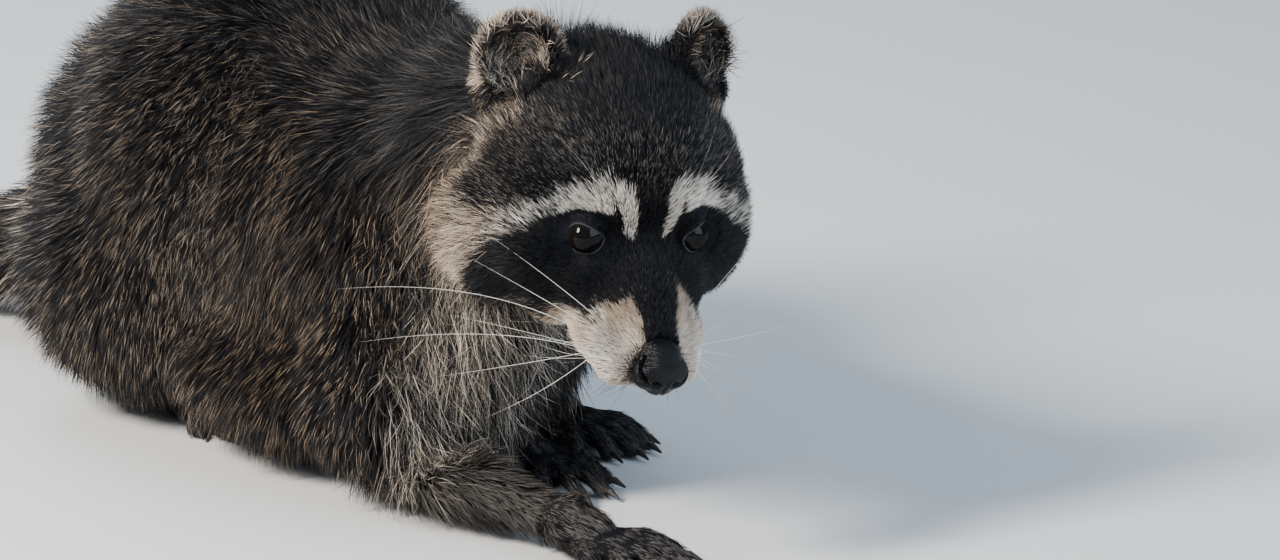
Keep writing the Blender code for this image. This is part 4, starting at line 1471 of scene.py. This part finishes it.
def eye_axes(sign):
    """Centre of the eyeball, and a turn whose Z is the gaze and whose X points to the outer corner."""
    centre = HEAD_PLACE @ Vector(eye_centre(sign))
    return centre, HEAD_TURN @ Matrix(gaze_axes(sign)).transposed()


def domed(name, sign, angles, far, value_name, values):
    """A mesh of rings about the gaze, from each point's angle to it and each ring's distance and value."""
    centre, turn = eye_axes(sign)
    rings, spokes = angles.shape
    around, flat = ways_round(spokes), np.sin(angles)
    local = np.stack([flat * np.cos(around), flat * np.sin(around), np.cos(angles)], axis=-1)
    points = np.array(centre) + local @ np.array(turn).T * (EYE_RADIUS * np.array(far))[:, None, None]
    faces = ring_quads(rings, spokes)
    if turn.determinant() < 0:
        faces = faces[:, ::-1]
    mesh = mesh_of(name, points.reshape(-1, 3), faces)
    set_values(mesh, value_name, np.repeat(values, spokes))
    return mesh


def eyeball(side, sign):
    rings, spokes = EYE_GRID
    angles = np.linspace(0.0, math.pi, rings + 1)
    bulge = 1.0 + CORNEA_BULGE * np.maximum(0.0, 1.0 - (angles / CORNEA_REACH) ** 2)
    polar = np.minimum(1.0, angles / POLAR_REACH)
    mesh = domed("eyeball_" + side, sign, np.tile(angles[:, None], spokes), bulge, "polar", polar)
    whole = bmesh.new()
    whole.from_mesh(mesh)
    bmesh.ops.remove_doubles(whole, verts=whole.verts, dist=WELD)
    whole.to_mesh(mesh)
    whole.free()
    mesh.shade_smooth()
    obj = new_object("eyeball_" + side, mesh)
    return finished(obj, "eye_brown", once("eye", eye_material), "eye_" + side)


LID_PROFILE = (
    # degrees beyond the opening's edge, distance in eye radii, wetness
    (-3.0, 1.002, 0.9),
    (-1.0, 1.040, 1.0),
    (1.5, 1.075, 0.5),
    (4.5, 1.095, 0.0),
    (9.0, 1.090, 0.0),
    (13.0, 1.040, 0.0),
    (17.0, 0.960, 0.0),
)
LID_SPOKES = 72
LID_SWELL = 1.085  # of the skin over the eye, in eye radii
LID_DROOP = 0.30  # radians: how far the inner corner sits below the middle


def lid_opening(around):
    """Half angle of the almond between the lids, degrees, for each way round from the outer corner."""
    outwards, upwards = np.cos(around), np.sin(around)
    wide = 58.0 + 9.0 * outwards**2 + 3.0 * np.maximum(0.0, outwards)
    corner = 13.0 * np.maximum(0.0, -np.cos(around + LID_DROOP)) ** 8
    return wide - 5.0 * np.maximum(0.0, upwards) ** 2 - 2.0 * np.maximum(0.0, -upwards) ** 2 + corner


def eyelids(side, sign):
    beyond, far, wet = np.array(LID_PROFILE).T
    angles = np.radians(lid_opening(ways_round(LID_SPOKES)) + beyond[:, None])
    obj = new_object("eyelids_" + side, domed("eyelids_" + side, sign, angles, far, "wet", wet))
    return finished(obj, "coat", once("lid", lid_material))


# ---------------------------------------------------------------- nose, claws and whiskers

NOSE_BALLS = (
    ((0.0, -5.85, -2.75), (1.12, 0.80, 0.84)),
    ((0.62, -5.80, -2.85), (0.62, 0.72, 0.74)),
    ((-0.62, -5.80, -2.85), (0.62, 0.72, 0.74)),
    ((0.0, -6.05, -3.25), (0.72, 0.50, 0.58)),
    ((0.0, -5.3, -2.3), (0.92, 0.95, 0.66)),
)
NOSE_VOXEL = 0.00048
NOSE_PASSES = 60
NOSE_MIDDLE = (0.0, -5.9, -2.75)
# from the round front of a nostril along its slit, round the side of the nose, from the nose's middle
NOSTRIL = (
    (0.46, -0.78, -0.10),
    (0.66, -0.74, -0.12),
    (0.86, -0.58, -0.02),
    (1.00, -0.32, 0.10),
    (1.05, -0.05, 0.24),
    (0.95, 0.20, 0.42),
    (0.80, 0.35, 0.55),
)


def nose():
    """The bare pad: round nostrils that run into a slit to the side, and a fine groove between."""
    pad = Forms(HEAD_PLACE)
    for centre, radii in NOSE_BALLS:
        pad.ball(centre, radii, 40)
    mesh = remeshed(new_object("nose_forms", pad.to_mesh("nose_forms")), NOSE_VOXEL, NOSE_PASSES)
    points, normals = points_of(mesh), normals_of(mesh)
    q = to_head(points)
    half = folded(q) - np.array(NOSE_MIDDLE)
    front = far_from(half, NOSTRIL[0])
    slit = along_line(half, NOSTRIL)[0]
    hole = np.maximum(1.0 - step(0.08, 0.26, front), 1.0 - step(0.04, 0.17, slit))
    lip = (1.0 - step(0.0, 0.15, np.abs(front - 0.33))) * 0.04
    groove = (1.0 - step(0.02, 0.12, np.abs(q[:, 0]))) * step(-2.5, -3.0, q[:, 2])
    points += normals * (lip - 0.30 * hole - 0.06 * groove)[:, None] * CM
    move_to(mesh, points)
    set_values(mesh, "hole", hole)
    mesh.shade_smooth()
    mesh.name = "nose_pad"
    obj = new_object("nose_pad", mesh)
    return finished(obj, "nose_leather", once("nose", nose_material), "nose")


def tube(stations, radii, spokes):
    """Points and triangles of a thin tapered tube along some places."""
    ahead = unit(np.gradient(stations, axis=0))
    side = unit(np.cross(ahead, (0.31, 0.17, 0.93)))
    over = np.cross(ahead, side)
    around = ways_round(spokes)[:, None]
    out = side[:, None] * np.cos(around) + over[:, None] * np.sin(around)
    points = stations[:, None] + out * radii[:, None, None]
    walls = ring_quads(len(stations), spokes)[:, [0, 3, 2, 0, 2, 1]].reshape(-1, 3)
    last = (len(stations) - 1) * spokes
    ends = []
    for spoke in range(1, spokes - 1):
        ends += [(0, spoke + 1, spoke), (last, last + spoke, last + spoke + 1)]
    return points.reshape(-1, 3), np.concatenate([walls, ends])


# root, heading, bow and length, cm, of each long whisker of one side, in the head's axes
WHISKERS = (
    ((1.80, -3.00, -2.75), (0.74, 0.64, 0.22), (0.0, 0.05, -0.15), 5.8),
    ((1.80, -3.20, -2.95), (0.80, 0.59, 0.10), (0.0, 0.10, -0.12), 5.4),
    ((1.85, -2.90, -3.10), (0.84, 0.48, 0.22), (-0.1, 0.50, -1.25), 9.6),
    ((1.80, -3.30, -3.30), (0.88, 0.38, 0.06), (-0.1, 0.45, -1.00), 8.4),
    ((1.70, -3.70, -3.50), (0.74, -0.16, -0.62), (0.0, 0.40, -0.15), 5.0),
    ((1.75, -3.40, -3.45), (0.84, 0.06, -0.30), (0.0, 0.45, -0.45), 5.6),
    ((1.60, -4.10, -3.20), (0.85, 0.02, 0.25), (0.0, 0.65, -0.65), 6.2),
)
# for each side: how many, middle and spread of their roots, heading and its spread, least and greatest
# length, cm, radius, mm, and shade, from 0 for white to 1 for dark
BRISTLES = (
    (5, (1.60, -4.20, -3.20), (0.35, 0.60, 0.40), (0.80, 0.25, -0.30), 0.40, (1.6, 3.6), 0.09, 0.0),
    (12, (0.90, -4.70, -4.10), (0.45, 0.70, 0.25), (0.45, -0.15, -0.85), 0.35, (0.9, 2.0), 0.10, 1.0),
    (3, (1.90, 0.10, 1.75), (0.35, 0.20, 0.20), (0.60, 0.10, 0.80), 0.25, (2.0, 3.4), 0.10, 0.7),
    (1, (4.60, 0.80, -2.90), (0.50, 0.40, 0.50), (0.70, 0.70, -0.20), 0.20, (2.5, 4.0), 0.10, 0.2),
)


WHISKER_SEED = 41
WHISKER_STATIONS = 14  # rings of points along each whisker
WHISKER_SPOKES = 4
WHISKER_TAPER = 0.88  # share of its radius that a whisker loses by its tip
BOW_SHARE = 0.55  # of the table's bow, at the tip


def whisker_list(rng):
    """Side, root, heading, bow, length in cm, radius in metres, and shade of every whisker and bristle."""
    face = bpy.context.scene.raccoon_face
    hairs = []
    for root, heading, bow, length in WHISKERS:
        for _, sign in SIDES:
            hairs.append((sign, root, heading, bow, length * face.whisker_length, face.whisker_radius, 0.0))
    for count, root, around, heading, stray, lengths, radius, shade in BRISTLES:
        for _, sign in SIDES:
            for _ in range(count):
                near_root = np.array(root) + rng.uniform(-1.0, 1.0, 3) * np.array(around)
                strayed = np.array(heading) + rng.normal(0.0, stray, 3) * 0.6
                bow = (-0.1, 0.6, rng.uniform(-0.9, 0.2))
                hairs.append((sign, near_root, strayed, bow, rng.uniform(*lengths), radius * MM, shade))
    return hairs


def whiskers():
    """Long white whiskers on the lips, and shorter bristles on chin, brow and cheek."""
    rng = np.random.default_rng(WHISKER_SEED)
    body = skin()
    tree = tree_of(body.points[among(body.group, *HEAD)])
    all_points, all_faces, shades, begun = [], [], [], 0
    shares = np.linspace(0.0, 1.0, WHISKER_STATIONS)[:, None]
    for sign, root, heading, bow, length, radius, shade in whisker_list(rng):
        mirror = np.array((sign, 1.0, 1.0))
        foot = np.array(tree.find(HEAD_PLACE @ Vector(np.array(root) * mirror))[0])
        jitter = rng.normal(0.0, 0.05, (2, 3))
        way = turned_by_head(unit(np.array(heading) * mirror + jitter[0]))
        bow = turned_by_head(np.array(bow) * mirror + jitter[1])
        stations = foot + length * CM * (way * shares + bow * shares**2 * BOW_SHARE)
        points, faces = tube(stations, radius * (1.0 - WHISKER_TAPER * shares[:, 0] ** 1.5), WHISKER_SPOKES)
        all_points.append(points)
        all_faces.append(faces + begun)
        begun += len(points)
        shades.append(np.full(len(points), shade))
    mesh = mesh_of("whiskers", np.concatenate(all_points), np.concatenate(all_faces))
    set_values(mesh, "shade", np.concatenate(shades))
    return finished(new_object("whiskers", mesh), "coat", once("whisker", whisker_material))


def claws():
    """The claws keep their solid shape and take a horn finish."""
    horn = once("horn", claw_material)
    for name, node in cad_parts.items():
        if name.startswith("claw_"):
            node.data.materials.clear()
            node.data.materials.append(horn)
            node.data.shade_smooth()


def place_skin():
    body = skin()
    pale, dark, _, bare = marks(body.marked, body.group)
    mesh = body.mesh
    for name, values in (("pale", pale), ("dark", dark), ("bare", bare)):
        set_values(mesh, name, values)
    mesh.shade_smooth()
    obj = new_object("skin", mesh)
    return finished(obj, "coat", once("skin_finish", skin_material), *GROUP_OF)


# ---------------------------------------------------------------- stage

CAMERA_AZIMUTH = -40.0  # degrees
CAMERA_RISE = 15.0  # degrees above the level
CAMERA_FAR = 3.0  # metres from what it looks at
CAMERA_LENS = 198.3  # mm
SENSOR_WIDTH = 36.0  # mm
CAMERA_REACH = 50.0  # metres
LIT_PLACE = (0.0, -0.1, 0.1)  # metres: what the lights look at
FLOOR_SIZE = 16.0  # metres
FLOOR_SHADE = 0.94  # of the floor's darker patches
LOOK_FROM_EYES = (1.52, 4.17, 0.09)  # cm: the reference point, from between the eyes
LOOK_ASIDE, LOOK_DOWN = 1.702, 3.404  # cm, from the reference point to the middle of the view


def direction(azimuth, rise):
    """The way to a place round about, in degrees. Azimuth 0 is ahead of the raccoon, 90 is its left."""
    a, e = math.radians(azimuth), math.radians(rise)
    return Vector((math.sin(a) * math.cos(e), -math.cos(a) * math.cos(e), math.sin(e)))


def in_scene(name, data, place, turn):
    obj = bpy.data.objects.new(name, data)
    obj.matrix_world = Matrix.Translation(place) @ turn.to_4x4()
    bpy.context.scene.collection.objects.link(obj)
    return obj


def camera():
    back = direction(CAMERA_AZIMUTH, CAMERA_RISE)
    right = Vector((0.0, 0.0, 1.0)).cross(back).normalized()
    up = back.cross(right).normalized()
    aim = BETWEEN_EYES + Vector(LOOK_FROM_EYES) * CM + right * LOOK_ASIDE * CM - up * LOOK_DOWN * CM
    data = bpy.data.cameras.new("camera")
    data.lens = CAMERA_LENS
    data.sensor_width = SENSOR_WIDTH
    data.clip_end = CAMERA_REACH
    turn = Matrix((right, up, back)).transposed()
    bpy.context.scene.camera = in_scene("camera", data, aim + back * CAMERA_FAR, turn)


def soft_light(name, azimuth, rise, far, width, height, power, colour):
    """A rectangular light that looks at the raccoon from far away."""
    away = direction(azimuth, rise)
    data = bpy.data.lights.new(name, "AREA")
    data.shape = "RECTANGLE"
    data.size = width
    data.size_y = height
    data.energy = power
    data.color = colour
    in_scene(name, data, Vector(LIT_PLACE) + away * far, away.to_track_quat("Z", "Y").to_matrix())


# name, azimuth and rise in degrees, distance, width and height in metres, power, colour
LIGHTS = (
    ("key", -98.0, 38.0, 1.9, 0.42, 0.6, 92.0, (1.0, 0.95, 0.88)),
    ("fill", 14.0, 24.0, 2.4, 1.6, 1.6, 50.0, (0.66, 0.82, 1.0)),
    ("rim", 165.0, 42.0, 2.0, 1.0, 1.0, 24.0, (0.72, 0.86, 1.0)),
)


def stage(settings):
    bpy.ops.mesh.primitive_plane_add(size=FLOOR_SIZE)
    floor = bpy.context.object
    floor.name = "floor"
    paint = Shader("floor", Roughness=0.85, Specular_IOR_Level=0.2)
    pale = tuple(settings.floor)
    paint.feed("Base Color", paint.mix(paint.noise(3.0), pale, [FLOOR_SHADE * part for part in pale]))
    floor.data.materials.append(paint.material)
    world = bpy.data.worlds.new("studio")
    world.use_nodes = True
    glow = world.node_tree.nodes["Background"].inputs
    glow["Color"].default_value = (*ROOM_COLOUR, 1.0)
    glow["Strength"].default_value = settings.room_light
    bpy.context.scene.world = world
    for name, azimuth, rise, far, width, height, power, colour in LIGHTS:
        soft_light(name, azimuth, rise, far, width, height, power * settings.lamp_light, colour)
    camera()


# ---------------------------------------------------------------- settings, operators and panel


def share_setting(name, description, default, most):
    return bpy.props.FloatProperty(
        name=name,
        description=description,
        default=default,
        min=0.05,
        max=most,
        subtype="FACTOR",
    )


def colour_setting(name, description, default):
    return bpy.props.FloatVectorProperty(
        name=name,
        description=description,
        default=default,
        size=3,
        min=0.0,
        max=1.0,
        subtype="COLOR",
    )


class RaccoonCoatSettings(bpy.types.PropertyGroup):
    plenty: share_setting("Plenty", "How many tufts the coat has, as a share of the full coat", 1.0, 1.0)
    length: share_setting("Hair length", "Length of every tuft, as a share of its natural length", 1.0, 1.5)
    width: share_setting("Hair width", "Width of every tuft, as a share of its natural width", 1.0, 2.0)
    cream: colour_setting("Cream", "Pale hairs of the brows and muzzle", CREAM)
    cream_tan: colour_setting("Cream tan", "Pale hairs where the coat is warm", CREAM_TAN)
    grey_band: colour_setting("Grey band", "Pale band of the guard hairs where the coat is cool", GREY_BAND)
    tan_band: colour_setting("Tan band", "Pale band of the guard hairs where the coat is warm", TAN_BAND)
    black_hair: colour_setting("Black", "Mask, stripe, tail rings and hair tips", BLACK_HAIR)
    leg_hair: colour_setting("Legs", "Short even hairs of the lower legs", LEG_BROWN)


class RaccoonFaceSettings(bpy.types.PropertyGroup):
    iris: colour_setting("Iris", "Lighter streaks of the iris", (0.0048, 0.0042, 0.0042))
    nose: colour_setting("Nose", "Pebbles of the nose pad", (0.0045, 0.0045, 0.0055))
    claws: colour_setting("Claws", "Paler streaks of the claws", (0.050, 0.039, 0.031))
    whiskers: colour_setting("Whiskers", "Long whiskers", (0.82, 0.78, 0.70))
    whisker_length: share_setting("Whisker length", "Length of the long whiskers, as a share", 1.0, 1.5)
    whisker_radius: bpy.props.FloatProperty(
        name="Whisker radius",
        description="Radius of a long whisker at its root",
        default=0.125 * MM,
        min=0.05 * MM,
        max=0.5 * MM,
        precision=5,
        subtype="DISTANCE",
        unit="LENGTH",
    )


class RaccoonStageSettings(bpy.types.PropertyGroup):
    room_light: share_setting("Room light", "Strength of the even light from all round", 0.36, 2.0)
    lamp_light: share_setting("Lamp light", "Strength of the lamps, as a share", 1.0, 3.0)
    floor: colour_setting("Floor", "Pale floor", (0.64, 0.637, 0.633))


class RACCOON_OT_skin(bpy.types.Operator):
    """Lay one skin inside the flesh nodes"""

    bl_idname = "raccoon.skin"
    bl_label = "Skin"

    def execute(self, context):
        place_skin()
        return {"FINISHED"}


class RACCOON_OT_eyes(bpy.types.Operator):
    """Set the eyeballs between their lids"""

    bl_idname = "raccoon.eyes"
    bl_label = "Eyes"

    def execute(self, context):
        for side, sign in SIDES:
            eyeball(side, sign)
            eyelids(side, sign)
        return {"FINISHED"}


class RACCOON_OT_nose(bpy.types.Operator):
    """Make the nose pad"""

    bl_idname = "raccoon.nose"
    bl_label = "Nose"

    def execute(self, context):
        nose()
        return {"FINISHED"}


class RACCOON_OT_claws(bpy.types.Operator):
    """Finish the claws in horn"""

    bl_idname = "raccoon.claws"
    bl_label = "Claws"

    def execute(self, context):
        claws()
        return {"FINISHED"}


class RACCOON_OT_whiskers(bpy.types.Operator):
    """Set whiskers and bristles in the face"""

    bl_idname = "raccoon.whiskers"
    bl_label = "Whiskers"

    def execute(self, context):
        whiskers()
        return {"FINISHED"}


class RACCOON_OT_coat(bpy.types.Operator):
    """Grow every piece of the coat"""

    bl_idname = "raccoon.coat"
    bl_label = "Coat"

    def execute(self, context):
        plenty = context.scene.raccoon_coat.plenty
        for number in range(len(ZONES)):
            grow_zone(number, plenty)
        return {"FINISHED"}


class RACCOON_OT_stage(bpy.types.Operator):
    """Set the floor, lights and camera"""

    bl_idname = "raccoon.stage"
    bl_label = "Stage"

    def execute(self, context):
        stage(context.scene.raccoon_stage)
        return {"FINISHED"}


SETTINGS = {
    "raccoon_coat": RaccoonCoatSettings,
    "raccoon_face": RaccoonFaceSettings,
    "raccoon_stage": RaccoonStageSettings,
}
OPERATORS = (
    RACCOON_OT_skin,
    RACCOON_OT_eyes,
    RACCOON_OT_nose,
    RACCOON_OT_claws,
    RACCOON_OT_whiskers,
    RACCOON_OT_coat,
    RACCOON_OT_stage,
)


class RACCOON_PT_panel(bpy.types.Panel):
    """Lists the settings and the steps"""

    bl_idname = "RACCOON_PT_panel"
    bl_label = "Raccoon"
    bl_space_type = "VIEW_3D"
    bl_region_type = "UI"
    bl_category = "Raccoon"

    def draw(self, context):
        for name, settings in SETTINGS.items():
            for field in settings.__annotations__:
                self.layout.prop(getattr(context.scene, name), field)
        for operator in OPERATORS:
            self.layout.operator(operator.bl_idname)


CLASSES = (*SETTINGS.values(), *OPERATORS, RACCOON_PT_panel)


def register():
    for cls in CLASSES:
        bpy.utils.register_class(cls)
    for name, settings in SETTINGS.items():
        setattr(bpy.types.Scene, name, bpy.props.PointerProperty(type=settings))


def unregister():
    for name in SETTINGS:
        delattr(bpy.types.Scene, name)
    for cls in reversed(CLASSES):
        bpy.utils.unregister_class(cls)


def main():
    register()
    bpy.ops.raccoon.skin()
    bpy.ops.raccoon.eyes()
    bpy.ops.raccoon.nose()
    bpy.ops.raccoon.claws()
    bpy.ops.raccoon.whiskers()
    bpy.ops.raccoon.coat()
    bpy.ops.raccoon.stage()


if __name__ == "__main__":
    main()
